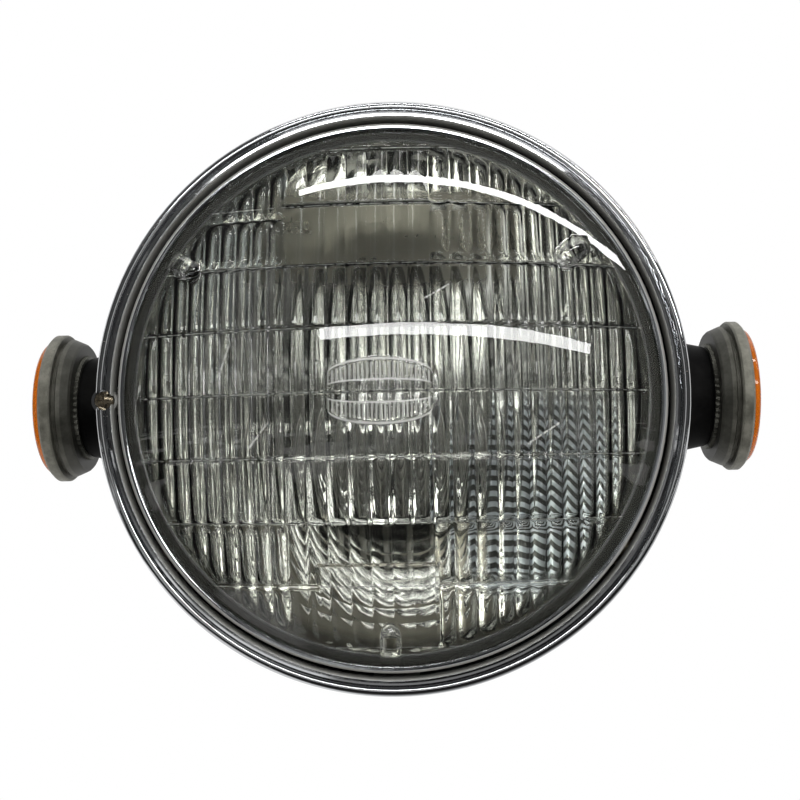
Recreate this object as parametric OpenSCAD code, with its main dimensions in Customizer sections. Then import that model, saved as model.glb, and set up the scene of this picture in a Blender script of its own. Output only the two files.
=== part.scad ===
// Round motorcycle headlight with an aimable sealed beam and two side reflectors.
// Millimetres. The front looks along -Y, +Z is up and +X is to the viewer's right.
// The origin lies on the side bolts' axis, midway between them.
// Turned pieces are drawn as profiles of radius and distance ahead of that axis,
// then laid forward by ahead(). Pieces on the side bolts are laid outward by aside().

/* [Rim] */
// Outer radius of the rim over its rolled bead
rim_radius = 90; // [80:0.5:100]
// Distance of the bead's front ahead of the side bolts' axis
rim_front = 40; // [39:0.5:44]
// Radius of the rolled bead's section
bead_section = 1.7; // [1.5:0.05:1.9]
// Thickness of the rim's sheet
rim_sheet = 1.0; // [0.8:0.05:1.1]
// Distance from the bead's front back to the end of the skirt
rim_depth = 18; // [16.5:0.25:18.5]
// Width of the rim from its outer edge in to its opening
rim_width = 5.5; // [5.3:0.05:6]
// How far the lip stands ahead of the bead
lip_rise = 1.6; // [0.8:0.1:3]
// Depth of the lip's inner return wall
lip_return = 5; // [4:0.25:5.5]

/* [Beam unit rings] */
// Width of the retaining ring's face
ring_width = 1.9; // [1.7:0.05:2.2]
// Gap between the rim's lip and the retaining ring
ring_gap = 1.7; // [1.5:0.05:1.9]
// Wall of the retaining ring
ring_wall = 0.8; // [0.6:0.05:0.9]
// Thickness of the retaining ring's face
ring_face = 1.2; // [1:0.1:1.6]
// Length of the retaining ring's wall, back from its face
ring_length = 16; // [15.75:0.25:16.5]
// Wall of the rear mounting ring
mount_ring_wall = 1.1; // [0.9:0.05:1.3]
// Thickness of the mounting ring's shelf under the beam's flange
mount_ring_shelf = 1.2; // [1:0.1:1.5]
// Number of screws that join the two rings
ring_screw_count = 4; // [2:1:6]
// Radius of those screws
ring_screw = 1.45; // [1.2:0.05:1.5]
// Radius of their heads
ring_screw_head = 2.7; // [2.2:0.1:3]
// Height of their heads
ring_screw_head_height = 1.3; // [1:0.1:1.5]
// Radial gap between the beam's flange and the ring round it
flange_clearance = 0.25; // [0.15:0.05:0.3]

/* [Glass] */
// Distance of the glass's crown ahead of the bead's front
glass_crown = 22; // [21:0.25:23]
// Thickness of the glass
glass_thickness = 3.8; // [3.4:0.1:4.2]
// Width of the plain border round the flutes
flute_border = 1.8; // [1.4:0.1:6]
// Width of one flute
flute_pitch = 5.8; // [4.6:0.1:8]
// Depth of the flutes beside the middle panes
flute_depth = 1.1; // [0.7:0.05:1.3]
// Left edge of the plainer panes above and below the middle
pane_left = 28; // [12:1:34]
// Right edge of the plainer panes
pane_right = 12; // [8:1:30]
// Depth of the flutes in those panes
pane_depth = 0.35; // [0.2:0.05:0.6]
// Height of one row of flutes
row_height = 18.6; // [16:0.1:21]
// Backward lean of each row, which makes the steps between rows
row_lean = 1.6; // [0:0.1:2.4]
// Width of the bare badge
badge_width = 28; // [22:0.5:34]
// Height of the bare badge
badge_height = 18.4; // [14:0.2:22]
// How far the badge sits left of the middle
badge_offset = 4.1; // [0:0.1:6]
// How far the badge stands out of the glass
badge_rise = 0.6; // [0.3:0.1:1]
// Radius of the three aiming nubs
nub_radius = 2.7; // [2:0.1:3.2]
// Length of an aiming nub
nub_length = 8.4; // [6.6:0.2:10]
// Distance of the nubs in from the edge of the flutes
nub_inset = 4.1; // [3:0.5:10]

/* [Reflector bowl] */
// Depth of the bowl, from the glass back to its vertex
bowl_depth = 55.5; // [45:0.5:60]
// Wall of the bowl
bowl_wall = 2; // [1.6:0.1:2.4]
// Thickness of the bowl's flange
bowl_flange = 2; // [1.6:0.1:2.4]
// Width of the glass's and the bowl's seat on each other
seat_width = 4.35; // [3.5:0.05:5]
// Radius of the neck that holds the terminals
neck_radius = 15; // [13:0.5:18]
// Length of the neck behind the bowl
neck_length = 9; // [7:0.5:12]
// Radius of the filament posts
post_radius = 0.8; // [0.6:0.05:1]
// Width of a terminal blade
blade_width = 7.8; // [6:0.1:8.2]
// Thickness of a terminal blade
blade_thickness = 0.8; // [0.6:0.1:1.2]
// Length of a terminal blade
blade_length = 12; // [8:0.5:16]
// Radius of the shield ahead of the filaments
shield_radius = 11; // [9:0.5:13]
// Radius of a filament coil
filament_radius = 0.9; // [0.7:0.05:1.1]
// Radius of a filament's wire
filament_wire = 0.2; // [0.15:0.01:0.25]
// Turns of a filament
filament_turns = 7; // [5:1:9]

/* [Pivots and adjuster] */
// Distance of the pivots behind the bead's front
pivot_back = 12; // [11.8:0.1:12.2]
// Radius of a pivot screw's shank
pivot_shank = 2; // [1.8:0.05:2.1]
// Running clearance of the pivots and of the adjuster in the rim
running_clearance = 0.06; // [0.03:0.01:0.09]
// Height of a pivot screw's head
pivot_head = 1.8; // [1.4:0.1:2]
// Distance of the adjuster in from the rim's outer edge, at nine o'clock
adjuster_inset = 2.6; // [2:0.1:3]
// Radius of the adjuster's shank
adjuster_shank = 1.5; // [1.4:0.05:1.6]
// Radius of the adjuster's head
adjuster_head = 2.9; // [2.7:0.1:3]
// Height of the adjuster's head
adjuster_head_height = 2; // [1.6:0.1:2.2]
// Length of the adjuster under its head
adjuster_length = 17.2; // [16.5:0.1:17.4]
// Distance of the nut's ear behind the bead's front
ear_set_back = 13.3; // [12.8:0.1:13.5]
// Length of the drawn boss behind the ear
boss_length = 1.8; // [1.4:0.1:1.9]
// Clearance of the adjuster in its nut, for the tilt of the beam
nut_clearance = 0.25; // [0.24:0.01:0.3]
// Radius of the spring's wire
spring_wire = 0.3; // [0.25:0.05:0.35]
// Mean radius of the spring
spring_radius = 2.2; // [2.15:0.05:2.3]
// Turns of the spring
spring_turns = 5; // [4:1:6]

/* [Case] */
// Thickness of the case's sheet
case_sheet = 1.2; // [1:0.1:1.5]
// Clearance of the case's mouth inside the rim's skirt
mouth_clearance = 0.15; // [0.1:0.05:0.2]
// How far the mouth reaches into the skirt
mouth_overlap = 9; // [8.5:0.25:10]
// Depth of the domed part of the case
dome_depth = 86; // [80:1:100]
// Fullness of the dome, two for an ellipse
dome_fullness = 2.2; // [2:0.05:2.6]
// Radius of the flat at the back
back_flat = 22; // [20:0.5:28]
// Radius of the pads under the side collars
pad_radius = 19.2; // [19:0.1:19.4]
// How far the pads stand out beyond the case
pad_rise = 0.35; // [0.2:0.05:4]
// Radius of the wiring hole in the back
wiring_hole = 13; // [10:0.5:15]
// Radius of the grommet's bore, where the wiring enters
grommet_bore = 9; // [6:0.5:9.6]
// Width of the grommet's flanges beyond its hole
grommet_lip = 3.5; // [2.5:0.25:4]
// Thickness of the grommet's flanges
grommet_flange = 2.2; // [1.6:0.1:3]
// Angle below the horizontal of the two screws that hold the rim
rim_screw_angle = 34; // [28:1:44]
// Radius of the rim screws
rim_screw = 2.4; // [2:0.1:2.6]
// Radius of their heads
rim_screw_head = 4.2; // [3.6:0.1:4.6]
// Height of their heads
rim_screw_head_height = 2.2; // [1.6:0.1:2.6]
// Width of the clip nuts
clip_width = 8; // [7:0.5:9]

/* [Side mounts and reflectors] */
// Length of the collars
collar_length = 14.1; // [10:0.1:20]
// Depth of the aluminium cups
base_depth = 9.6; // [9:0.1:11]
// Radius of a cup's back
base_back = 21.5; // [20.5:0.1:22]
// Radius of a cup's flange
base_flange = 24.5; // [24:0.1:26]
// Thickness of a cup's flange
base_flange_depth = 3.9; // [3.4:0.1:5]
// Depth of the groove behind a cup's flange
groove_depth = 1.2; // [0.8:0.1:1.3]
// Radius of the amber lens
amber_radius = 22; // [21.4:0.1:22.4]
// How far the amber lens's edge stands out of the cup
amber_stand = 2.2; // [0.5:0.1:3]
// Rise of the amber lens's domed face above its edge
amber_dome = 1.8; // [1:0.1:3]
// Radius of a collar where it meets the case
collar_large = 18.9; // [18:0.1:19]
// Radius of a collar at its outer end
collar_small = 16.5; // [15:0.1:17]
// Thickness of the serrated ring between collar and cup
serrated_depth = 1.1; // [0.8:0.1:1.5]
// Teeth of the serrated ring
serrations = 56; // [36:4:72]
// Radius of the side bolts
bolt_radius = 4; // [3.5:0.1:4.4]
// Clearance of the side bolts in their holes
bolt_clearance = 0.25; // [0.15:0.05:0.4]
// Width of the side bolts' nuts across flats
nut_flats = 13; // [12:0.5:14]
// Length of the side bolts inside the case
bolt_inner_length = 14; // [12.5:0.5:16]
// Radius of their heads
bolt_head_radius = 7; // [6:0.1:8]
// Radius of the flat washers
washer_radius = 8.4; // [7.6:0.1:9]

/* [Hidden] */
$fn = 96;
eps = 0.01;

// Rim: the skirt stands inside the bead, and the lip stands ahead of it
rim_opening = rim_radius - rim_width;
skirt_outer = rim_radius - 1;
skirt_inner = skirt_outer - rim_sheet;
skirt_end = rim_front - rim_depth;
lip_front = rim_front + lip_rise;
return_end = rim_front - lip_return;
lip_wall = rim_opening + rim_sheet;
bead_middle = rim_radius - bead_section;
bead_centre = rim_front - bead_section;

// Beam unit: glass on the bowl's flange, held between the two rings
ring_radius = rim_opening - ring_gap;
ring_window = ring_radius - ring_width;
ring_top = rim_front + 0.4;
ring_under = ring_top - ring_face;
ring_inner = ring_radius - ring_wall;
ring_end = ring_under + ring_face - ring_length;
flange_radius = ring_inner - flange_clearance;
glass_seat = ring_under - 3.6;
glass_edge = ring_window - 0.15;
glass_shoulder = ring_under + 0.27;
glass_apex = rim_front + glass_crown;
dome_rise = glass_apex - glass_shoulder;
glass_sphere = (glass_edge * glass_edge + dome_rise * dome_rise) / (2 * dome_rise);
sphere_centre = glass_apex - glass_sphere;
inner_sphere = glass_sphere - glass_thickness;
bowl_mouth = flange_radius - seat_width;
flute_area = bowl_mouth - flute_border;
flute_rows = round(flute_area / row_height);
nub_circle = flute_area - nub_inset;
shelf_top = glass_seat - bowl_flange;
shelf_under = shelf_top - mount_ring_shelf;
shelf_inner = bowl_mouth + bowl_wall + 0.4;
mount_ring_outer = ring_inner - 0.05;
mount_ring_inner = mount_ring_outer - mount_ring_wall;

// Bowl: a paraboloid whose mouth meets the glass
focal_length = bowl_mouth * bowl_mouth / (4 * bowl_depth);
function bowl_drop(r) = r * r / (4 * focal_length);
bowl_vertex = glass_seat - bowl_depth;
focus = bowl_vertex + focal_length;
neck_end = bowl_vertex - bowl_wall - neck_length;
post_spread = 5;
shield_ahead = focus + 9;

// Pivots and adjuster
adjuster_radius = rim_radius - adjuster_inset;
pivot_at = rim_front - pivot_back;
pivot_head_radius = 3.3;
pivot_seat = lip_wall;
tab_half = 7;
tab_end = pivot_at - 4.4;
pivot_nut_height = 1.5 * pivot_shank;
pivot_nut_radius = 1.8 * pivot_shank;
pivot_nut_inner = sqrt(pow(mount_ring_inner, 2) - pow(pivot_nut_radius, 2)) - pivot_nut_height - 0.02;
ear_front = rim_front - ear_set_back;
ear_back = ear_front - mount_ring_shelf;
ear_radius = spring_radius + spring_wire + 0.15;
seat_front = rim_front - 0.6 - adjuster_head_height;
seat_back = seat_front - rim_sheet;
channel_inner = ear_radius + 0.55;
channel_outer = channel_inner + rim_sheet * 0.8;
head_pocket = adjuster_head + 0.3;

// Case: the mouth slides into the skirt, which ends on the bead behind it
mouth_outer = skirt_inner - mouth_clearance;
mouth_front = skirt_end + mouth_overlap;
dome_start = skirt_end - 5;
function dome_at(r, radius, depth) = dome_start - depth * pow(max(0, 1 - pow(r / radius, dome_fullness)), 1 / dome_fullness);
clip_half = clip_width * 0.75;
clip_seat = sqrt(pow(mouth_outer - case_sheet, 2) - clip_half * clip_half);
clip_inner = clip_seat - 2.1;
back_outer = dome_at(back_flat, mouth_outer, dome_depth);
back_inner = back_outer + case_sheet;
notch_half = channel_outer + 0.9;
notch_end = seat_front - adjuster_length - 0.4;
pivot_notch_half = pivot_head_radius + 1;
pivot_notch_end = pivot_at - pivot_head_radius - 0.6;

// Side mounts: each piece starts where the one inside it ends
pad_reach = mouth_outer + pad_rise;
pad_inner = pad_reach - case_sheet;
collar_end = pad_reach + collar_length;
base_start = collar_end + serrated_depth;
base_end = base_start + base_depth;
base_floor = 2;
bolt_head = 2.4;
cup_bore = amber_radius + 0.2;
gasket_at = base_end - 2.6;
gasket_thick = 0.8;
washer_thick = 1.6;
spring_washer_thick = 2;
nut_height = 6.5;
bolt_end = pad_inner - bolt_inner_length;

steel_black = [0.05, 0.05, 0.055];
chrome = [0.82, 0.83, 0.84];
zinc = [0.62, 0.6, 0.54];
aluminium = [0.55, 0.55, 0.54];

// Lays a profile turned about Z so that it looks forward
module ahead() { rotate([90, 0, 0]) children(); }

// Lays a piece built along Z outward along X, on the right or mirrored to the left
module aside(side) { mirror([side == "left" ? 1 : 0, 0, 0]) rotate([0, 90, 0]) children(); }

// Lays a piece built along Z outward from the middle at an angle above +X
module outward(angle) { rotate([0, -angle, 0]) rotate([0, 90, 0]) children(); }

// A tube along Z from one height to another
module tube(outer, inner, low, high) {
    translate([0, 0, low]) rotate_extrude() translate([inner, 0]) square([outer - inner, high - low]);
}

// The crossed recess of a screw's head, sunk from the height given
module cross_recess(reach, top, depth) {
    for (turn = [0, 90]) rotate([0, 0, turn])
        translate([-reach, -reach * 0.18, top - depth]) cube([2 * reach, reach * 0.36, depth + 1]);
}

// A pan head whose top edge is rounded, standing on Z
module pan_head(radius, height) {
    rotate_extrude() intersection() {
        square([radius, height]);
        translate([0, height - radius * 1.6]) circle(r = radius * 1.6);
    }
}

// A coil of round wire; closed_turns lie flat at each end
module coil(radius, wire, turns, closed_turns, length, steps, sides) {
    count = (turns + 2 * closed_turns) * steps;
    function lift(t) = t < closed_turns ? -2 * wire * (closed_turns - t)
        : t > turns + closed_turns ? length + 2 * wire * (t - turns - closed_turns) : length * (t - closed_turns) / turns;
    points = [for (i = [0:count], s = [0:sides - 1])
        let (t = i / steps, a = 360 * s / sides, r = radius + wire * cos(a))
        [r * cos(360 * t), r * sin(360 * t), lift(t) + wire * sin(a)]];
    faces = concat([[for (s = [0:sides - 1]) s]],
        [[for (s = [sides - 1:-1:0]) count * sides + s]],
        [for (i = [0:count - 1], s = [0:sides - 1]) let (a = i * sides + s, b = i * sides + (s + 1) % sides) [a, a + sides, b + sides]],
        [for (i = [0:count - 1], s = [0:sides - 1]) let (a = i * sides + s, b = i * sides + (s + 1) % sides) [a, b + sides, b]]);
    polyhedron(points, faces, convexity = 8);
}

// Sphere-fronted solid of revolution: radius of the sphere, its centre, and a cylinder that trims it
module spherical_cap(sphere_r, centre, radius, low) {
    rotate_extrude() intersection() {
        translate([0, centre]) circle(r = sphere_r, $fn = 360);
        translate([0, low]) square([radius, sphere_r]);
    }
}

// Rows of flutes, counted up from the lowest; the middle panes are nearly flat
function row_flute(x, row) = abs(row + 0.5) > 2 && x > -pane_left && x < pane_right ? pane_depth
    : abs(row + 0.5) < 1 ? flute_depth : flute_depth * 0.85;

// Profile of one row, across the glass and outward from the sphere's centre
function row_profile(row) =
    let (half = floor(flute_area / flute_pitch) + 1, cuts = 3)
    [for (i = [-half * cuts:half * cuts])
        let (x = i * flute_pitch / cuts, part = (i % cuts + cuts) % cuts / cuts, side = (floor(i / cuts) + 0.5) * flute_pitch,
            r = inner_sphere + 0.1 + 4 * part * (1 - part) * row_flute(side, row))
        [x, sqrt(r * r - x * x)]];

// One row, turned about the sphere's centre to follow the dome, and leaning back a little
module flute_row(row) {
    step = 2 * atan(row_height / 2 / inner_sphere);
    half = (floor(flute_area / flute_pitch) + 1) * flute_pitch;
    intersection() {
        translate([0, 0, glass_seat]) cylinder(r = flute_area, h = glass_sphere);
        translate([0, 0, sphere_centre]) rotate([-(row + 0.5) * step, 0, 0])
            translate([0, 0, inner_sphere]) rotate([row_lean, 0, 0]) translate([0, 0, -inner_sphere])
                rotate([90, 0, 0]) translate([0, 0, -row_height / 2 - 0.06])
                    linear_extrude(row_height + 0.12) polygon(concat([[-half, inner_sphere * 0.8]], row_profile(row), [[half, inner_sphere * 0.8]]));
    }
}
module flute_block() for (row = [-flute_rows:flute_rows - 1]) flute_row(row);

// Outline of the bare badge: straight ends and bowed top and bottom
module badge_outline() {
    bow = badge_width * 0.9;
    intersection() {
        square([badge_width, badge_height * 1.2], center = true);
        translate([0, badge_height / 2 - bow]) circle(r = bow);
        translate([0, bow - badge_height / 2]) circle(r = bow);
    }
}

module lens_glass() color([0.86, 0.9, 0.88, 0.45]) ahead() difference() {
    union() {
        spherical_cap(glass_sphere, sphere_centre, glass_edge, glass_seat);
        tube(flange_radius, glass_edge - 1, glass_seat, ring_under - 0.1);
        intersection() {
            spherical_cap(glass_sphere + badge_rise, sphere_centre, glass_edge, glass_seat + 8);
            translate([-badge_offset, 0, glass_seat]) linear_extrude(glass_sphere) badge_outline();
        }
        for (angle = [143, 38, 268]) rotate([0, 0, angle]) aiming_nub();
    }
    intersection() {
        spherical_cap(inner_sphere, sphere_centre, bowl_mouth, glass_seat - 1);
        translate([0, 0, glass_seat - 1]) cylinder(r = bowl_mouth, h = glass_sphere);
    }
    flute_block();
}

// One moulded nub: a round-ended bar lying outward on the glass
module aiming_nub() {
    lean = asin(nub_circle / glass_sphere);
    half = nub_length / 2 - nub_radius;
    translate([0, 0, sphere_centre]) rotate([0, lean, 0]) translate([0, 0, glass_sphere]) {
        for (end = [-1, 1]) translate([end * half, 0, 0]) sphere(r = nub_radius, $fn = 32);
        translate([-half, 0, 0]) rotate([0, 90, 0]) cylinder(r = nub_radius, h = 2 * half, $fn = 32);
    }
}

module reflector_bowl() color([0.85, 0.87, 0.9]) ahead() difference() {
    union() {
        rotate_extrude() polygon(concat(
            [for (i = [0:20]) let (r = bowl_mouth * i / 20) [r, bowl_vertex + bowl_drop(r)]],
            [[flange_radius, glass_seat], [flange_radius, shelf_top], [bowl_mouth + bowl_wall, shelf_top]],
            [for (i = [20:-1:0]) let (r = bowl_mouth * i / 20, lean = atan(r / (2 * focal_length)))
                [r == 0 ? 0 : r + bowl_wall * sin(lean), min(shelf_top, bowl_vertex + bowl_drop(r) - bowl_wall * cos(lean))]]));
        translate([0, 0, neck_end]) cylinder(r1 = neck_radius - 1, r2 = neck_radius + 1, h = neck_length + bowl_wall + 1);
    }
    translate([0, 0, bowl_vertex + bowl_drop(neck_radius)]) cylinder(r = neck_radius, h = 30);
    rotate_extrude() polygon(concat([for (i = [0:8]) let (r = neck_radius * i / 8) [r, bowl_vertex + bowl_drop(r)]], [[0, bowl_vertex + 30]]));
    for (p = post_places()) translate([p[0], p[1], neck_end - 1]) cylinder(r = post_radius, h = neck_length + 20, $fn = 32);
}

// Places of the three filament posts: left, right and above
function post_places() = [[-post_spread, -2], [post_spread, -2], [0, post_spread + 1]];

module filament_posts() color(zinc) ahead() for (i = [0:2]) {
    p = post_places()[i];
    translate([p[0], p[1], neck_end]) cylinder(r = post_radius, h = (i == 2 ? shield_ahead - 1.4 : focus) - neck_end, $fn = 32);
}

module terminal_blades() color(zinc) ahead() for (i = [0:2]) {
    p = post_places()[i];
    across = i == 2;
    translate([p[0] * (across ? 1 : 1.35), p[1], neck_end - blade_length])
        translate([across ? -blade_width / 2 : -blade_thickness / 2, across ? -blade_thickness / 2 : -blade_width / 2, 0])
            cube([across ? blade_width : blade_thickness, across ? blade_thickness : blade_width, blade_length]);
    translate([p[0] * (across ? 1 : 1.175), p[1], neck_end - 0.6]) cube([across ? 2 : post_spread * 0.35 + 2 * post_radius, 2, 1.2], center = true);
}

module filament_shield() color(aluminium) ahead() {
    translate([0, 0, shield_ahead]) rotate_extrude() intersection() {
        difference() {
            translate([0, -shield_radius * 1.2]) circle(r = shield_radius * 1.3);
            translate([0, -shield_radius * 1.2]) circle(r = shield_radius * 1.3 - 0.6);
        }
        translate([0, -shield_radius * 0.75]) square([shield_radius, shield_radius * 2]);
    }
    translate([0, post_spread + 1, shield_ahead - 1.4]) cylinder(r = post_radius * 1.5, h = 1.6, $fn = 32);
}

// A filament hung between the two side posts
module filament(row) {
    reach = post_spread - post_radius;
    translate([-reach, row, focus - 1.2]) rotate([0, 90, 0]) coil(filament_radius, filament_wire, filament_turns, 0, 2 * reach, 8, 5);
}

module main_filament() color(zinc) ahead() filament(-2);
module dip_filament() color(zinc) ahead() translate([0, 0, -3]) filament(-1.4);

module rim() color(chrome) ahead() difference() {
    union() {
        rotate_extrude() {
            translate([bead_middle, bead_centre]) circle(r = bead_section, $fn = 48);
            translate([skirt_inner, skirt_end]) square([rim_sheet, bead_centre - skirt_end]);
            polygon([
                [skirt_inner, bead_centre - 1.2], [skirt_outer, bead_centre], [bead_middle - bead_section * 0.6, bead_centre + 0.7],
                [bead_middle - bead_section - 0.5, bead_centre + 0.2], [lip_wall + 0.7, lip_front - 0.5],
                [lip_wall, lip_front], [rim_opening + 0.4, lip_front], [rim_opening, lip_front - 0.5],
                [rim_opening, return_end], [lip_wall, return_end], [lip_wall, lip_front - 1.6],
                [bead_middle - bead_section - 0.4, bead_centre - 1]]);
        }
        intersection() {
            tube(lip_wall, rim_opening, tab_end, return_end + 1);
            translate([-tab_half, -rim_radius, tab_end]) cube([2 * tab_half, 2 * rim_radius, rim_depth]);
        }
        translate([-adjuster_radius, 0, skirt_end]) cylinder(r = channel_outer, h = seat_front - skirt_end + 0.8);
    }
    translate([-adjuster_radius, 0, skirt_end - 1]) cylinder(r = channel_inner, h = seat_back - skirt_end + 1);
    difference() {
        translate([-adjuster_radius + channel_outer * 0.38, -channel_outer, skirt_end - 1])
            cube([channel_outer + 2, 2 * channel_outer, seat_back - skirt_end + 1]);
        tube(rim_radius + 5, skirt_inner - 0.5, skirt_end - 2, rim_front);
        tube(lip_wall, rim_opening, return_end, lip_front);
    }
    translate([-adjuster_radius, 0, skirt_end]) cylinder(r = adjuster_shank + running_clearance, h = 2 * rim_depth);
    translate([-adjuster_radius, 0, seat_front]) cylinder(r = head_pocket, h = rim_depth);
    for (turn = [90, 270]) outward_in_plan(turn) translate([0, 0, rim_opening - 1]) cylinder(r = pivot_shank + running_clearance, h = 3);
    for (turn = [-rim_screw_angle, 180 + rim_screw_angle]) screw_line(turn) translate([0, 0, skirt_inner - rim_sheet]) cylinder(r = rim_screw + 0.25, h = 4 * rim_sheet);
}

// A radial line through the pivots, inside ahead()
module outward_in_plan(turn) { translate([0, 0, pivot_at]) rotate([0, 0, turn]) rotate([0, 90, 0]) children(); }

// A radial line through the rim screws, inside ahead()
module screw_line(turn) { translate([0, 0, skirt_end + mouth_overlap / 2]) rotate([0, 0, turn]) rotate([0, 90, 0]) children(); }

// A radial line through the screws of the rings, inside ahead()
module ring_line(i) {
    translate([0, 0, ring_end + 3.2]) rotate([0, 0, 45 + 360 * i / ring_screw_count]) rotate([0, 90, 0]) children();
}

module retaining_ring() color(chrome) ahead() difference() {
    rotate_extrude() {
        intersection() {
            translate([(ring_window + ring_radius) / 2, ring_under]) circle(r = (ring_radius - ring_window) / 2 + 0.3, $fn = 48);
            translate([ring_window, ring_under]) square([ring_radius - ring_window, ring_face]);
        }
        translate([ring_inner, ring_end]) square([ring_wall, ring_length - ring_face + 0.3]);
    }
    for (i = [0:ring_screw_count - 1]) ring_line(i) translate([0, 0, ring_inner - ring_wall]) cylinder(r = ring_screw + 0.15, h = 4 * ring_wall, $fn = 32);
    for (turn = [90, 270]) outward_in_plan(turn) translate([0, 0, ring_inner - ring_wall]) cylinder(r = pivot_shank + 0.5, h = 4 * ring_wall);
    translate([-ring_radius - 2, -ear_radius - 0.3, ring_end - 1]) cube([5, 2 * ear_radius + 0.6, ear_front - ring_end + 1.3]);
}

module mounting_ring() color(zinc) ahead() difference() {
    union() {
        tube(mount_ring_outer, shelf_inner, shelf_under, shelf_top);
        tube(mount_ring_outer, mount_ring_inner, ring_end, shelf_top);
        translate([0, 0, ear_back]) linear_extrude(mount_ring_shelf) difference() {
            union() {
                translate([-adjuster_radius, 0]) circle(r = ear_radius);
                translate([-adjuster_radius, -ear_radius]) square([adjuster_radius - mount_ring_inner - 0.5, 2 * ear_radius]);
            }
            circle(r = mount_ring_inner + 0.05);
        }
        translate([-adjuster_radius, 0, ear_back - boss_length]) cylinder(r = ear_radius - 0.2, h = boss_length + 0.5);
    }
    translate([-adjuster_radius, 0, ear_back - boss_length - 1]) cylinder(r = adjuster_shank + nut_clearance, h = boss_length + 5);
    for (i = [0:ring_screw_count - 1]) ring_line(i) translate([0, 0, mount_ring_inner - mount_ring_wall]) cylinder(r = ring_screw + 0.05, h = 4 * mount_ring_wall, $fn = 32);
    for (turn = [90, 270]) outward_in_plan(turn) translate([0, 0, mount_ring_inner - mount_ring_wall]) cylinder(r = pivot_shank + 0.3, h = 4 * mount_ring_wall);
}

module ring_screws() color(zinc) ahead() for (i = [0:ring_screw_count - 1]) ring_line(i) difference() {
    union() {
        translate([0, 0, mount_ring_inner - 0.6]) cylinder(r = ring_screw, h = ring_radius - mount_ring_inner + 0.8, $fn = 32);
        translate([0, 0, ring_radius + 0.02]) pan_head(ring_screw_head, ring_screw_head_height);
    }
    cross_recess(ring_screw_head * 0.55, ring_radius + ring_screw_head_height, ring_screw_head_height * 0.46);
}

// A pivot screw along Z, its head on the rim's tab
module pivot_screw() difference() {
    union() {
        translate([0, 0, pivot_nut_inner - 0.6]) cylinder(r = pivot_shank, h = pivot_seat - pivot_nut_inner + 0.7);
        translate([0, 0, pivot_seat + 0.02]) pan_head(pivot_head_radius, pivot_head);
    }
    cross_recess(pivot_shank, pivot_seat + pivot_head, pivot_head * 0.55);
}

module top_pivot_screw() color(zinc) ahead() outward_in_plan(90) pivot_screw();
module bottom_pivot_screw() color(zinc) ahead() outward_in_plan(270) pivot_screw();

module pivot_nuts() color(zinc) ahead() for (turn = [90, 270]) outward_in_plan(turn) difference() {
    translate([0, 0, pivot_nut_inner]) cylinder(r = pivot_nut_radius, h = pivot_nut_height, $fn = 6);
    translate([0, 0, pivot_nut_inner - 1]) cylinder(r = pivot_shank + running_clearance, h = 2 * pivot_nut_height);
}

module adjuster_screw() color([0.62, 0.5, 0.3]) ahead() translate([-adjuster_radius, 0, seat_front]) difference() {
    union() {
        translate([0, 0, -adjuster_length]) cylinder(r = adjuster_shank, h = adjuster_length + 0.2);
        translate([0, 0, 0.02]) pan_head(adjuster_head, adjuster_head_height);
    }
    cross_recess(adjuster_head * 0.6, adjuster_head_height, 1.1);
}

module adjuster_spring() color(zinc) ahead() translate([-adjuster_radius, 0, ear_front + 3.2 * spring_wire])
    coil(spring_radius, spring_wire, spring_turns, 1, seat_back - ear_front - 6.4 * spring_wire, 12, 6);

// Outline of the case's outside, or of its hollow when moved in by its sheet
module case_profile(inset) {
    radius = mouth_outer - inset;
    depth = dome_depth - inset;
    back = back_outer + inset;
    cuts = 18;
    polygon(concat([[0, mouth_front + (inset > 0 ? 1 : 0)], [radius, mouth_front + (inset > 0 ? 1 : 0)]],
        [for (i = [0:cuts]) let (r = radius * cos(90 * i / cuts)) if (dome_at(r, radius, depth) > back + 0.3) [r, dome_at(r, radius, depth)]],
        [[radius * pow(max(0, 1 - pow((dome_start - back) / depth, dome_fullness)), 1 / dome_fullness), back], [0, back]]));
}

module headlight_case() color(steel_black) difference() {
    union() {
        ahead() rotate_extrude() {
            case_profile(0);
            translate([mouth_outer - 0.5, skirt_end - 1.8]) square([skirt_outer - mouth_outer + 0.5, 1.8]);
        }
        for (side = ["left", "right"]) aside(side) cylinder(r = pad_radius, h = pad_reach);
    }
    difference() {
        union() {
            ahead() rotate_extrude() case_profile(case_sheet);
            for (side = ["left", "right"]) aside(side) cylinder(r = pad_radius - case_sheet, h = pad_inner);
        }
    }
    for (side = ["left", "right"]) aside(side) cylinder(r = bolt_radius + bolt_clearance, h = pad_reach + 5);
    ahead() {
        translate([0, 0, back_outer - case_sheet]) cylinder(r = wiring_hole, h = 4 * case_sheet);
        for (turn = [-rim_screw_angle, 180 + rim_screw_angle]) screw_line(turn) translate([0, 0, mouth_outer - 4 * case_sheet]) cylinder(r = rim_screw + 0.25, h = 6 * case_sheet);
        translate([-adjuster_radius - 2 * channel_outer, -notch_half, notch_end]) cube([4 * channel_outer, 2 * notch_half, 2 * rim_depth]);
        for (end = [-1, 1]) translate([-pivot_notch_half, end * mouth_outer - 5 * case_sheet, pivot_notch_end])
            cube([2 * pivot_notch_half, 10 * case_sheet, 2 * rim_depth]);
    }
}

module rim_screws() color(zinc) ahead() for (turn = [-rim_screw_angle, 180 + rim_screw_angle]) screw_line(turn) difference() {
    union() {
        translate([0, 0, clip_inner - 0.4]) cylinder(r = rim_screw, h = skirt_outer - clip_inner + 0.5);
        translate([0, 0, skirt_outer + 0.02]) pan_head(rim_screw_head, rim_screw_head_height);
    }
    cross_recess(rim_screw, skirt_outer + rim_screw_head_height, rim_screw_head_height * 0.55);
}

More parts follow.
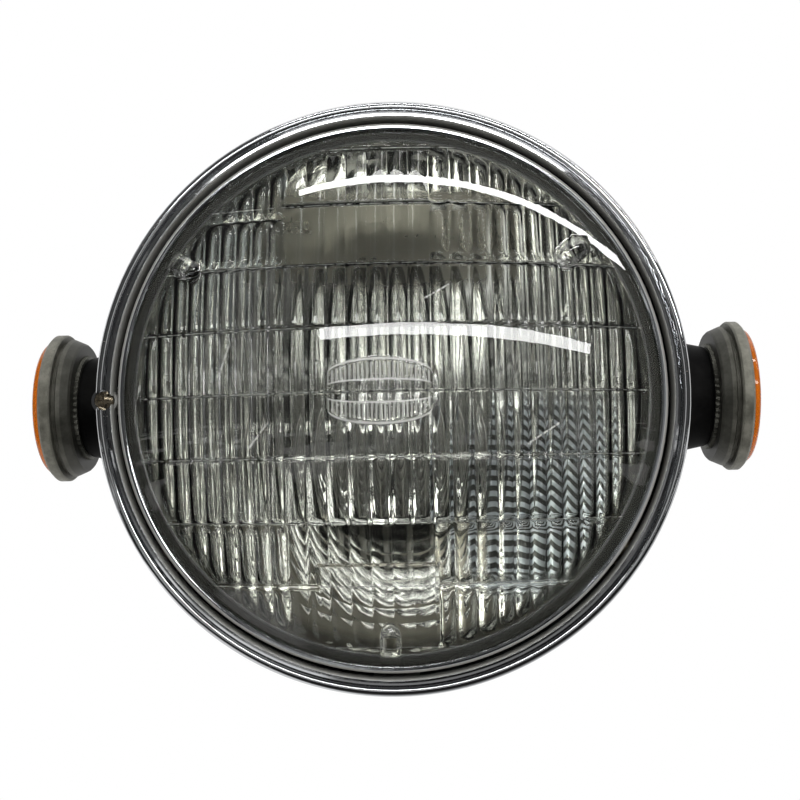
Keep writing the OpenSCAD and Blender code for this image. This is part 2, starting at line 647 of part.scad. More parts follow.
module rim_clip_nuts() color(zinc) ahead() for (turn = [-rim_screw_angle, 180 + rim_screw_angle]) screw_line(turn) {
    difference() {
        union() {
            translate([-clip_width / 2, -clip_half, clip_seat - 0.9]) cube([clip_width, 2 * clip_half, 0.9]);
            translate([0, 0, clip_inner]) cylinder(r = clip_width * 0.475, h = clip_seat - clip_inner - 0.5);
        }
        translate([0, 0, clip_inner - 2]) cylinder(r = rim_screw + 0.05, h = 8);
    }
}

module wiring_grommet() color([0.08, 0.08, 0.08]) ahead() difference() {
    union() {
        tube(wiring_hole + grommet_lip, grommet_bore, back_outer - grommet_flange, back_outer);
        tube(wiring_hole, grommet_bore, back_outer - eps, back_inner + eps);
        tube(wiring_hole + grommet_lip, grommet_bore, back_inner, back_inner + grommet_flange);
    }
}

// A collar: a tapered spacer with a relieved inner end
module collar() rotate_extrude() polygon([
    [bolt_radius + bolt_clearance, pad_reach], [9, pad_reach], [9, pad_reach + 6], [collar_large - 3, pad_reach + 6],
    [collar_large - 3, pad_reach], [collar_large, pad_reach], [collar_large, pad_reach + 1.5],
    [collar_small, collar_end - 1], [collar_small - 0.6, collar_end], [bolt_radius + bolt_clearance, collar_end]]);

// A ring with fine teeth round its edge
module serrated_ring() translate([0, 0, collar_end]) difference() {
    linear_extrude(serrated_depth) polygon([for (i = [0:2 * serrations - 1])
        let (a = 180 * i / serrations, r = collar_small + (i % 2 == 0 ? 0.9 : 0.3)) [r * cos(a), r * sin(a)]]);
    translate([0, 0, -1]) cylinder(r = bolt_radius + bolt_clearance, h = 5);
}

// A turned cup with a groove behind its flange
module reflector_base() rotate_extrude() polygon([
    [bolt_radius + bolt_clearance, base_start], [base_back - 0.6, base_start], [base_back, base_start + 0.6],
    [base_flange - 1.5, base_end - base_flange_depth - 1.6], [base_flange - 1.5 - groove_depth, base_end - base_flange_depth - 1],
    [base_flange - 1.5 - groove_depth, base_end - base_flange_depth], [base_flange - 0.5, base_end - base_flange_depth],
    [base_flange, base_end - base_flange_depth + 0.6], [base_flange, base_end - 0.8], [base_flange - 0.8, base_end],
    [cup_bore, base_end], [cup_bore, gasket_at - gasket_thick], [base_back - 4, gasket_at - gasket_thick],
    [base_back - 4, base_start + base_floor], [bolt_radius + bolt_clearance, base_start + base_floor]]);

module lens_gasket() tube(cup_bore - 0.1, base_back - 4, gasket_at - gasket_thick, gasket_at);

// The amber lens: a disc with a domed face
module amber_lens() {
    edge = base_end + amber_stand;
    bend = (amber_radius * amber_radius + amber_dome * amber_dome) / (2 * amber_dome);
    translate([0, 0, gasket_at]) cylinder(r = amber_radius, h = edge - gasket_at - eps);
    spherical_cap_small(bend, edge + amber_dome - bend, amber_radius, edge - 0.2);
}

module spherical_cap_small(sphere_r, centre, radius, low) {
    rotate_extrude() intersection() {
        translate([0, centre]) circle(r = sphere_r, $fn = 360);
        translate([0, low]) square([radius, sphere_r]);
    }
}

module mount_bolt() difference() {
    union() {
        translate([0, 0, bolt_end]) cylinder(r = bolt_radius, h = base_start + base_floor - bolt_end + 0.5);
        translate([0, 0, base_start + base_floor]) cylinder(r = bolt_head_radius, h = bolt_head);
    }
    cross_recess(bolt_head_radius * 0.43, base_start + base_floor + bolt_head, bolt_head / 2);
}

module flat_washer() tube(washer_radius, bolt_radius + bolt_clearance, pad_inner - washer_thick, pad_inner);

// A spring washer: a ring with a slanting cut
module spring_washer() difference() {
    tube(bolt_head_radius, bolt_radius + bolt_clearance / 2, pad_inner - washer_thick - spring_washer_thick, pad_inner - washer_thick);
    translate([5, 0, pad_inner - washer_thick - spring_washer_thick / 2]) rotate([20, 0, 0]) cube([6, 0.8, 10], center = true);
}

module mount_nut() {
    top = pad_inner - washer_thick - spring_washer_thick;
    difference() {
        intersection() {
            translate([0, 0, top - nut_height]) cylinder(r = nut_flats / sqrt(3), h = nut_height, $fn = 6);
            translate([0, 0, top - nut_height]) cylinder(r1 = nut_flats / 2 - 0.1 + 0.3, r2 = nut_flats / 2 + nut_height + 0.2, h = nut_height);
        }
        translate([0, 0, top - nut_height - 1]) cylinder(r = bolt_radius + 0.05, h = nut_height + 2);
    }
}

module left_collar() color([0.07, 0.07, 0.07]) aside("left") collar();
module right_collar() color([0.07, 0.07, 0.07]) aside("right") collar();
module left_serrated_ring() color(aluminium) aside("left") serrated_ring();
module right_serrated_ring() color(aluminium) aside("right") serrated_ring();
module left_reflector_base() color(aluminium) aside("left") reflector_base();
module right_reflector_base() color(aluminium) aside("right") reflector_base();
module left_lens_gasket() color([0.1, 0.1, 0.1]) aside("left") lens_gasket();
module right_lens_gasket() color([0.1, 0.1, 0.1]) aside("right") lens_gasket();
module left_amber_lens() color([0.85, 0.35, 0.03]) aside("left") amber_lens();
module right_amber_lens() color([0.85, 0.35, 0.03]) aside("right") amber_lens();
module left_mount_bolt() color(zinc) aside("left") mount_bolt();
module right_mount_bolt() color(zinc) aside("right") mount_bolt();
module left_flat_washer() color(zinc) aside("left") flat_washer();
module right_flat_washer() color(zinc) aside("right") flat_washer();
module left_spring_washer() color(zinc) aside("left") spring_washer();
module right_spring_washer() color(zinc) aside("right") spring_washer();
module left_mount_nut() color(zinc) aside("left") mount_nut();
module right_mount_nut() color(zinc) aside("right") mount_nut();

headlight_case();
rim();
retaining_ring();
mounting_ring();
ring_screws();
lens_glass();
reflector_bowl();
filament_shield();
main_filament();
dip_filament();
filament_posts();
terminal_blades();
top_pivot_screw();
bottom_pivot_screw();
pivot_nuts();
adjuster_screw();
adjuster_spring();
rim_screws();
rim_clip_nuts();
wiring_grommet();
left_collar();
left_serrated_ring();
left_reflector_base();
left_lens_gasket();
left_amber_lens();
left_mount_bolt();
left_flat_washer();
left_spring_washer();
left_mount_nut();
right_collar();
right_serrated_ring();
right_reflector_base();
right_lens_gasket();
right_amber_lens();
right_mount_bolt();
right_flat_washer();
right_spring_washer();
right_mount_nut();
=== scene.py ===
import logging
import math
from collections.abc import Callable, Iterator, Mapping, Sequence
from dataclasses import dataclass, field
from enum import Enum

import bmesh
import bpy
from bpy.types import Material, Mesh, Node, NodeInputs, NodeOutputs, NodeSocket, NodeTree, Object
from mathutils import Matrix, Vector


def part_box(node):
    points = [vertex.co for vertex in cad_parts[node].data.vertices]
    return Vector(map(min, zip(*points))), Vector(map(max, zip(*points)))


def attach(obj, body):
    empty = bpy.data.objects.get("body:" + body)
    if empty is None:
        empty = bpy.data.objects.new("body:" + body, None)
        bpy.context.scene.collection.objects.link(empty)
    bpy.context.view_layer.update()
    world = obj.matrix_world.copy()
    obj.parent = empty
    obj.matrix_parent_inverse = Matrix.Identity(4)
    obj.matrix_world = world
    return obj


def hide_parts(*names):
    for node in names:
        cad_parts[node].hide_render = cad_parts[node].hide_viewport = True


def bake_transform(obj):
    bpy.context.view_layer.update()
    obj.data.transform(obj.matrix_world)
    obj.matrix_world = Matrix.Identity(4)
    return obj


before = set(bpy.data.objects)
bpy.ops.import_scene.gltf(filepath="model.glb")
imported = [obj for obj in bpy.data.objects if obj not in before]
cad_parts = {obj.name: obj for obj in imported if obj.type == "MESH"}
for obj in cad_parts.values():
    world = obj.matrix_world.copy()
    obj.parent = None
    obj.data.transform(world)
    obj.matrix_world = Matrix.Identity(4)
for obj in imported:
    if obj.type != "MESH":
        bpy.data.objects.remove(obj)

logging.basicConfig(level=logging.INFO, format="%(message)s")
log = logging.getLogger("headlight")

MM = 0.001
FULL_TURN = 2 * math.pi
Colour = tuple[float, float, float]
Point = tuple[float, float, float]


def step(operation: str, swapped: bool = False) -> Callable[["Term", "Number"], "Term"]:
    """Makes a method of Term from a Math node's operation; swapped puts the other number first."""
    def method(self: "Term", other: "Number") -> "Term":
        """Adds the Math node and returns its result."""
        return self.book.maths(operation, *((other, self) if swapped else (self, other)))
    return method


class Term:
    """A node socket that is written as a number in an expression; > and < give 1 or 0, and % is never negative."""

    __add__, __radd__ = step("ADD"), step("ADD", True)
    __sub__, __rsub__ = step("SUBTRACT"), step("SUBTRACT", True)
    __mul__, __rmul__ = step("MULTIPLY"), step("MULTIPLY", True)
    __truediv__, __pow__, __mod__ = step("DIVIDE"), step("POWER"), step("FLOORED_MODULO")
    __gt__, __lt__ = step("GREATER_THAN"), step("LESS_THAN")
    at_least, at_most = step("MAXIMUM"), step("MINIMUM")

    def __init__(self, book: "NodeBook", socket: NodeSocket) -> None:
        """Keeps the socket and the book of nodes that it belongs to."""
        self.book = book
        self.socket = socket

    def floor(self) -> "Term":
        """self rounded down."""
        return self.book.maths("FLOOR", self)

    def root(self) -> "Term":
        """The square root of self, or of 0 where self is negative."""
        return self.book.maths("SQRT", self.at_least(0.0))

    def size(self) -> "Term":
        """self without its sign."""
        return self.book.maths("ABSOLUTE", self)

    def sine(self) -> "Term":
        """The sine of self, in radians."""
        return self.book.maths("SINE", self)

    def ramp(self, low: float, high: float) -> "Term":
        """0 at low, 1 at high and a straight line between, also where high is below low."""
        return ((self - low) / (high - low)).at_least(0.0).at_most(1.0)


Number = Term | float


class NodeBook:
    """A node tree with one way to add any node, and maths written as expressions."""

    def __init__(self, tree: NodeTree) -> None:
        """Starts with an empty tree."""
        self.tree = tree
        tree.nodes.clear()

    @staticmethod
    def _find(sockets: NodeInputs | NodeOutputs, key: str | int) -> NodeSocket:
        """Finds one of a node's inputs or outputs by its place, identifier or name."""
        if isinstance(key, int):
            return sockets[key]
        named = [socket for socket in sockets if socket.identifier == key]
        named += [socket for socket in sockets if socket.name == key and socket.enabled]
        return named[0]

    def node(self, kind: str, settings: Mapping[str, object] | None = None,
             sockets: Mapping[str | int, object] | None = None) -> Node:
        """Adds a node.

        Args:
            kind: the node's type.
            settings: its own settings.
            sockets: a value or a link for each socket that is set.

        Returns:
            The node.
        """
        made = self.tree.nodes.new(kind)
        for name, value in (settings or {}).items():
            setattr(made, name, value)
        for key, value in (sockets or {}).items():
            self.put(self._find(made.inputs, key), value)
        return made

    def put(self, socket: NodeSocket, value: object) -> None:
        """Links a term or socket to a socket, or sets its value."""
        if isinstance(value, Term):
            value = value.socket
        if isinstance(value, NodeSocket):
            self.tree.links.new(value, socket)
        elif socket.type == "RGBA" and len(value) == 3:
            socket.default_value = (*value, 1.0)
        else:
            socket.default_value = value

    def maths(self, operation: str, *terms: Number) -> Term:
        """One step of an expression, as a Math node."""
        made = self.node("ShaderNodeMath", {"operation": operation}, dict(enumerate(terms)))
        return Term(self, made.outputs[0])

    def term(self, made: Node, key: str | int = 0) -> Term:
        """One output of a node, as a term."""
        return Term(self, self._find(made.outputs, key))

    def axes(self, vector: Term) -> tuple[Term, Term, Term]:
        """The three parts of a vector."""
        made = self.node("ShaderNodeSeparateXYZ", {}, {0: vector})
        return self.term(made, 0), self.term(made, 1), self.term(made, 2)

    def vector(self, x: Number, y: Number, z: Number) -> Term:
        """A vector from its three parts."""
        return self.term(self.node("ShaderNodeCombineXYZ", {}, {0: x, 1: y, 2: z}))


class Paint(NodeBook):
    """A material under way: what its finish reads and mixes."""

    def __init__(self, name: str) -> None:
        """Starts a material."""
        self.material = bpy.data.materials.new(name)
        self.material.use_nodes = True
        super().__init__(self.material.node_tree)
        self.place = self.term(self.node("ShaderNodeTexCoord"), "Object")

    def stretched(self, scale: Point, turn: Point = (0.0, 0.0, 0.0)) -> Term:
        """Object coordinates, turned and stretched."""
        made = self.node("ShaderNodeMapping", {"vector_type": "POINT"},
                         {"Vector": self.place, "Scale": scale, "Rotation": turn})
        return self.term(made)

    def noise(self, scale: float, detail: float = 3.0, roughness: float = 0.55, vector: Term | None = None) -> Term:
        """Noise about 0.5, with scale features to a metre, in the object's coordinates or others."""
        made = self.node("ShaderNodeTexNoise", {"noise_dimensions": "3D"},
                         {"Vector": vector or self.place, "Scale": scale, "Detail": detail, "Roughness": roughness})
        return self.term(made, "Fac")

    def cells(self, scale: float) -> Term:
        """Distance to scattered points, for pits and flecks."""
        made = self.node("ShaderNodeTexVoronoi", {"feature": "F1"}, {"Vector": self.place, "Scale": scale})
        return self.term(made, "Distance")

    def mix(self, share: Number, first: Term | Colour, second: Term | Colour) -> Term:
        """first, with a share of second."""
        made = self.node("ShaderNodeMix", {"data_type": "RGBA", "clamp_factor": True},
                         {"Factor_Float": share, "A_Color": first, "B_Color": second})
        return self.term(made, "Result_Color")

    def bump(self, height: Term, strength: float, distance: float) -> Term:
        """A normal bumped by a height pattern, whose full step stands for distance metres."""
        made = self.node("ShaderNodeBump", {}, {"Strength": strength, "Distance": distance, "Height": height})
        return self.term(made, "Normal")

    def radius(self) -> Term:
        """The distance from the headlight's own axis."""
        x, _, z = self.axes(self.place)
        return (x * x + z * z).root()

    def over(self, first: Node, second: Node, share: Term) -> Node:
        """The first shader, with a share of the second over it."""
        both = self.node("ShaderNodeMixShader", {}, {0: share})
        self.tree.links.new(first.outputs[0], both.inputs[1])
        self.tree.links.new(second.outputs[0], both.inputs[2])
        return both

    def surface(self, **sockets: object) -> Node:
        """A Principled shader, with its sockets named with _ for a space."""
        return self.node("ShaderNodeBsdfPrincipled", {}, {k.replace("_", " "): v for k, v in sockets.items()})

    def done(self, shader: Node) -> Material:
        """Ends the material with a shader, and returns it."""
        self.node("ShaderNodeOutputMaterial", {}, {"Surface": shader.outputs[0]})
        return self.material

    def plain(self, **sockets: object) -> Material:
        """Ends the material with one Principled shader, and returns it."""
        return self.done(self.surface(**sockets))


@dataclass(frozen=True)
class Chrome:
    """Old bright chrome: hazy in places, with pits and brown flecks where moisture sat, and a pale band of painted
    light in the gap at the ring.
    """

    name: str = "worn chrome"
    colour: Colour = (0.56, 0.57, 0.58)
    rust: Colour = (0.17, 0.075, 0.025)
    haze: float = 0.10
    flecks: float = 0.5
    # The pale colour painted as light into the gap between the rim and the ring.
    dust: Colour = (0.30, 0.30, 0.28)
    gap_radius: float = 83.4

    def made(self) -> Material:
        """Builds the material."""
        p = Paint(self.name)
        cloud = p.noise(70, 4, 0.6)
        pits = p.cells(900).ramp(0.16, 0.05) * p.noise(160, 2).ramp(0.62 - 0.1 * self.flecks, 0.72)
        wipe = p.noise(260, 3, 0.6, p.stretched((0.25, 1.0, 1.0), (0.0, 0.5, 0.0)))
        colour = p.mix(cloud.ramp(0.35, 0.8) * 0.35, self.colour, tuple(c * 0.72 for c in self.colour))
        colour = p.mix(pits, colour, self.rust)
        # Painted light: a pale, dull, unmetallic band lightens the gap between the rim and the ring.
        gap = (p.radius() - self.gap_radius * MM).size().ramp(0.0015, 0.0012)
        colour = p.mix(gap, colour, self.dust)
        rough = 0.05 + cloud.ramp(0.4, 0.75) * self.haze + wipe.ramp(0.55, 0.75) * 0.05 + pits * 0.5 + gap * 0.5
        return p.plain(Base_Color=colour, Metallic=(1.0 - 0.8 * pits) * (1.0 - gap), Roughness=rough,
                       Normal=p.bump(p.noise(1500, 2) - pits, 0.12, 0.00005))


@dataclass(frozen=True)
class Plating:
    """Dull plated steel with a yellowish cast and dark specks."""

    name: str = "zinc plate"
    colour: Colour = (0.50, 0.46, 0.36)
    stain: Colour = (0.24, 0.17, 0.09)
    rough: float = 0.34
    stained: float = 0.35
    metal: float = 1.0

    def made(self) -> Material:
        """Builds the material."""
        p = Paint(self.name)
        cloud = p.noise(240, 5, 0.65)
        brush = p.noise(2600, 2, 0.5, p.stretched((1.0, 1.0, 0.15)))
        colour = p.mix(cloud.ramp(0.62 - 0.2 * self.stained, 0.78), self.colour, self.stain)
        return p.plain(Base_Color=colour, Metallic=self.metal * (1.0 - 0.4 * cloud.ramp(0.6, 0.8)),
                       Roughness=self.rough + 0.2 * (cloud - 0.5) + 0.1 * (brush - 0.5),
                       Normal=p.bump(brush, 0.2, 0.00004))


@dataclass(frozen=True)
class Silvering:
    """The bright silvered inside of the beam unit's bowl, slightly uneven, yellowed and darker towards its edge, with
    painted reflections (a dark ring, bowed stripes at the lower right and a dim brownish patch at the top) and painted
    shade on its left side.
    """

    name: str = "silvering"
    colour: Colour = (0.90, 0.905, 0.88)
    aged: Colour = (0.66, 0.65, 0.57)
    # The dark colour of the painted ring and stripe reflections, also used to darken the bowl towards its edge.
    worn: Colour = (0.07, 0.07, 0.06)
    shaded: Colour = (0.36, 0.36, 0.33)
    # The colour of the painted dim reflection at the top of the bowl.
    dim_reflection: Colour = (0.21, 0.19, 0.14)
    # The bluish tint of the painted stripe reflection at the lower right.
    reflection_blue: Colour = (0.86, 0.93, 1.0)
    ring_radius: float = 44.0
    stripe_place: tuple[float, float] = (46.0, -31.0)
    stripe_reach: tuple[float, float] = (19.0, 32.0)
    stripe_lean: float = 0.25
    stripe_middle: float = 38.0
    stripe_bow: float = 4.5
    stripe_pitch: float = 3.4

    def _stripes(self, x: Term, z: Term) -> tuple[Term, Term]:
        """The painted reflection of bowed stripes at the lower right: where they lie, and their wave."""
        (middle, down), (wide, tall) = self.stripe_place, self.stripe_reach
        rise = z - down * MM
        across = (x - middle * MM - self.stripe_lean * rise) / (wide * MM)
        area = (across ** 2.0 + (rise / (tall * MM)) ** 2.0).root().ramp(1.1, 0.8)
        bow = self.stripe_bow * (x - self.stripe_middle * MM) ** 2.0
        return area, ((z + bow) * (FULL_TURN / (self.stripe_pitch * MM))).sine()

    def made(self) -> Material:
        """Builds the material."""
        p = Paint(self.name)
        x, _, z = p.axes(p.place)
        radius = p.radius()
        # Painted reflection: a dark ring round the axis at ring_radius.
        ring = (radius - self.ring_radius * MM).size().ramp(0.0035, 0.002) * 0.8
        cloud = p.noise(60, 4, 0.6)
        area, stripes = self._stripes(x, z)
        # Painted reflection: a dim brownish patch in the upper middle, where the silvering is also rougher.
        brown = z.ramp(0.036, 0.040) * z.ramp(0.068, 0.063) * x.size().ramp(0.044, 0.036) * 0.8
        colour = p.mix(radius.ramp(0.06, 0.08) * 0.4 + cloud.ramp(0.55, 0.8) * 0.2, self.colour, self.aged)
        colour = p.mix(x.ramp(0.0, -0.05) * 0.65, colour, self.shaded)
        colour = p.mix(brown, colour, self.dim_reflection)
        # Painted reflection: a bluish, less metallic tint where the stripes lie.
        colour = p.mix(area, colour, self.reflection_blue)
        # Darker towards the edge, plus the painted reflections of the dark ring and of the stripes.
        worn = (ring + radius.ramp(0.072, 0.075) * 0.7).at_least(area * stripes.ramp(-0.3, 0.2) * 0.95)
        return p.plain(Base_Color=p.mix(worn, colour, self.worn), Metallic=1.0 - 0.35 * area,
                       Roughness=0.03 + 0.03 * cloud.ramp(0.4, 0.8) + 0.3 * brown + 0.1 * area,
                       Normal=p.bump(p.noise(110, 1) + stripes * area, 0.04, 0.0008))


@dataclass(frozen=True)
class Glass:
    """Moulded glass of the beam unit: faintly green, slightly wavy, with dust and a few scratches outside, and painted
    highlights on its badge and along its rows' edges.
    """

    name: str = "moulded glass"
    tint: Colour = (0.955, 0.965, 0.935)
    scratches: tuple[tuple[float, float, float, float], ...] = (
        (-50.5, 3.0, -46.0, 15.5), (-41.0, -16.0, -35.0, -8.5), (39.0, -16.0, 50.0, -9.0), (10.0, 26.0, 18.0, 30.5))
    row_height: float = 18.6
    badge_middle: float = -2.5
    badge_half: float = 14.8
    badge_height: float = 9.6
    rib_pitch: float = 1.25
    pale_film: Colour = (0.75, 0.76, 0.72)
    border_film: Colour = (0.20, 0.205, 0.17)

    def _scratched(self, x: Term, z: Term) -> Term:
        """Where the scratches lie."""
        lines: Term | None = None
        for x1, z1, x2, z2 in self.scratches:
            reach = math.hypot(x2 - x1, z2 - z1) * MM
            dx, dz = (x2 - x1) * MM / reach, (z2 - z1) * MM / reach
            u, v = x - x1 * MM, z - z1 * MM
            along, across = u * dx + v * dz, (v * dx - u * dz).size()
            ends = along.ramp(-0.0005, 0.001) * along.ramp(reach + 0.0005, reach - 0.001)
            line = across.ramp(0.0004, 0.00015) * ends
            lines = line if lines is None else lines.at_least(line)
        return lines

    def _badge(self, x: Term, z: Term) -> Term:
        """How far light catches the bare badge's outline and ribs."""
        across = x - self.badge_middle * MM
        within = across.size() < self.badge_half * MM
        bow = (1.0 - (across / (self.badge_half * MM)) ** 2.0).root() * 0.45 + 0.55 * within
        level = z.size() / (bow * self.badge_height * MM).at_least(0.0001)
        ribs = (across * (FULL_TURN / (self.rib_pitch * MM))).sine() > 0.2
        ribs = ribs * level.ramp(0.34, 0.38) * level.ramp(0.88, 0.84)
        outline = level.ramp(0.90, 0.94) * level.ramp(1.02, 0.98) + (level - 0.34).size().ramp(0.035, 0.02)
        return (ribs * 0.34 + outline * 0.5) * within

    def made(self) -> Material:
        """Builds the material."""
        p = Paint(self.name)
        x, _, z = p.axes(p.place)
        outside, inner = (p.term(p.node("ShaderNodeAttribute", {"attribute_name": name}), "Fac")
                          for name in ("outside", "inside"))
        marks = (self._scratched(x, z) * outside * p.noise(1200, 2).ramp(0.35, 0.6)).at_most(1.0)
        dust = p.noise(90, 5, 0.65).ramp(0.5, 0.85) * outside
        to_row = (((z / (self.row_height * MM)) % 1.0) - 0.5).size()
        # Painted highlight: pale lines along the edges of the flute rows, on the inner face.
        row_highlight = to_row.ramp(0.490, 0.4955) * inner * p.noise(700, 2).ramp(0.38, 0.55) * 0.6
        border = p.radius().ramp(0.0762, 0.0792)
        glass = p.surface(Base_Color=self.tint, Transmission_Weight=1.0, IOR=1.5, Roughness=0.012 * dust,
                          Normal=p.bump(p.noise(200, 1), 0.02, 0.0004))
        film = p.surface(Base_Color=p.mix(border, self.pale_film, self.border_film), Roughness=0.6)
        # The film shows the scratches and dust, a darker film towards the edge, and the painted highlights on the badge
        # and, below, along the rows.
        share = (marks * 0.75 + dust * 0.012).at_least(border * 0.15).at_least(self._badge(x, z) * outside)
        return p.done(p.over(glass, film, share.at_least(row_highlight)))


@dataclass(frozen=True)
class Enamel:
    """Black stoved paint: glossy on the case, satin on the collars, with dust and rubbed spots."""

    name: str = "black enamel"
    colour: Colour = (0.012, 0.012, 0.013)
    rubbed: Colour = (0.16, 0.155, 0.145)
    rough: float = 0.22
    wear: float = 0.3
    coat: float = 0.5
    shine: float = 0.5

    def made(self) -> Material:
        """Builds the material."""
        p = Paint(self.name)
        cloud = p.noise(45, 5, 0.62)
        peel = p.noise(420, 2)
        spots = p.cells(320).ramp(0.2, 0.06) * p.noise(110, 3).ramp(0.66 - 0.1 * self.wear, 0.76)
        grey = p.mix(cloud.ramp(0.45, 0.85) * 0.25, self.colour, (0.05, 0.049, 0.046))
        return p.plain(Base_Color=p.mix(spots, grey, self.rubbed), Coat_Weight=self.coat * (1.0 - spots),
                       Coat_Roughness=self.rough * 0.5, Specular_IOR_Level=self.shine,
                       Roughness=self.rough + cloud.ramp(0.4, 0.8) * 0.18 + spots * 0.3,
                       Normal=p.bump(peel - spots * 0.5, 0.12, 0.00012))


@dataclass(frozen=True)
class Aluminium:
    """Turned aluminium gone dull: pale grey oxide, fine rings from the tool, dark pits and specks, and painted shade on
    the body and steps behind the flange.
    """

    name: str = "oxidised aluminium"
    colour: Colour = (0.14, 0.138, 0.112)
    pale: Colour = (0.27, 0.262, 0.22)
    # The dark colour of the pits and specks, and of the painted shade.
    grime_and_shade: Colour = (0.022, 0.022, 0.017)
    metal: float = 0.35
    # How much light the body keeps under its painted shade, and how dark the painted shade on the steps is.
    body_light: float = 1.0
    step_shade: float = 0.0

    def made(self) -> Material:
        """Builds the material."""
        p = Paint(self.name)
        x, y, z = p.axes(p.place)
        blotch = p.noise(150, 5, 0.7)
        fine = p.noise(1100, 3, 0.6)
        rings = p.noise(3.0, 2, 0.5, p.vector(x.size() * 900.0, (y * y + z * z).root() * 900.0, 0.0))
        pits = p.cells(700).ramp(0.22, 0.05) * blotch.ramp(0.45, 0.7)
        colour = p.mix(blotch.ramp(0.38, 0.68), self.colour, self.pale)
        # Painted shade: the body behind the flange and the steps towards the collar are darkened, as if in the rim's
        # shadow.
        flange, steps = x.size().ramp(0.1096, 0.1088), x.size().ramp(0.1070, 0.1062)
        body = (flange * (1.0 - self.body_light)).at_least(steps * self.step_shade)
        colour = p.mix((pits * 0.7 + fine.ramp(0.6, 0.8) * 0.35).at_least(body), colour, self.grime_and_shade)
        return p.plain(Base_Color=colour, Metallic=self.metal + 0.25 * blotch.ramp(0.6, 0.4),
                       Roughness=0.5 + 0.25 * (blotch - 0.4),
                       Normal=p.bump(rings * 0.5 + fine * 0.6 - pits, 0.35, 0.0001))


@dataclass(frozen=True)
class Amber:
    """Clear amber plastic."""

    name: str = "amber plastic"
    colour: Colour = (0.82, 0.21, 0.012)
    clear: float = 0.7

    def made(self) -> Material:
        """Builds the material."""
        p = Paint(self.name)
        cloud = p.noise(140, 4, 0.6)
        colour = p.mix(cloud.ramp(0.5, 0.9) * 0.4, self.colour, tuple(c * 0.7 for c in self.colour))
        return p.plain(Base_Color=colour, Transmission_Weight=self.clear, IOR=1.49,
                       Roughness=0.09 + 0.08 * cloud.ramp(0.5, 0.8),
                       Normal=p.bump(p.noise(700, 2), 0.06, 0.0001))


@dataclass(frozen=True)
class Reflex:
    """The bright amber facets behind the lens."""

    name: str = "amber facets"
    colour: Colour = (0.75, 0.20, 0.012)

    def made(self) -> Material:
        """Builds the material."""
        p = Paint(self.name)
        cloud = p.noise(180, 3)
        colour = p.mix(cloud.ramp(0.4, 0.8), self.colour, tuple(c * 0.75 for c in self.colour))
        return p.plain(Base_Color=colour, Metallic=0.55, Roughness=0.22 + 0.1 * cloud)


@dataclass(frozen=True)
class Rusted:
    """The adjuster's old plated head: brassy on its edges, brown in its recess."""

    name: str = "rusted plating"
    bright: Colour = (0.26, 0.225, 0.16)
    rust: Colour = (0.045, 0.026, 0.012)

    def made(self) -> Material:
        """Builds the material."""
        p = Paint(self.name)
        grit = p.noise(1300, 5, 0.7)
        _, y, _ = p.axes(p.place)
        sunk = y.ramp(-0.0385, -0.0375)
        share = (grit.ramp(0.46, 0.60) * 0.6 + sunk).at_most(1.0)
        return p.plain(Base_Color=p.mix(share, self.bright, self.rust), Metallic=0.95 - 0.5 * share,
                       Roughness=0.16 + 0.3 * share, Normal=p.bump(grit, 0.15, 0.00012))


@dataclass(frozen=True)
class Rubber:
    """Matt black rubber with a fine bloom."""

    name: str = "black rubber"
    colour: Colour = (0.022, 0.022, 0.022)

    def made(self) -> Material:
        """Builds the material."""
        p = Paint(self.name)
        bloom = p.noise(120, 5, 0.6)
        return p.plain(Base_Color=p.mix(bloom.ramp(0.45, 0.85) * 0.5, self.colour, (0.07, 0.068, 0.064)),
                       Roughness=0.62 + 0.2 * bloom, Normal=p.bump(p.noise(2400, 3), 0.25, 0.00006))


def link(obj: Object) -> Object:
    """Adds an object to the scene and returns it."""
    bpy.context.scene.collection.objects.link(obj)
    return obj


def plain_mesh(name: str, points: Sequence[Point], faces: Sequence[Sequence[int]]) -> Mesh:
    """A smooth shaded mesh from its points, in metres, and its faces."""
    mesh = bpy.data.meshes.new(name)
    mesh.from_pydata(points, [], faces)
    mesh.shade_smooth()
    return mesh


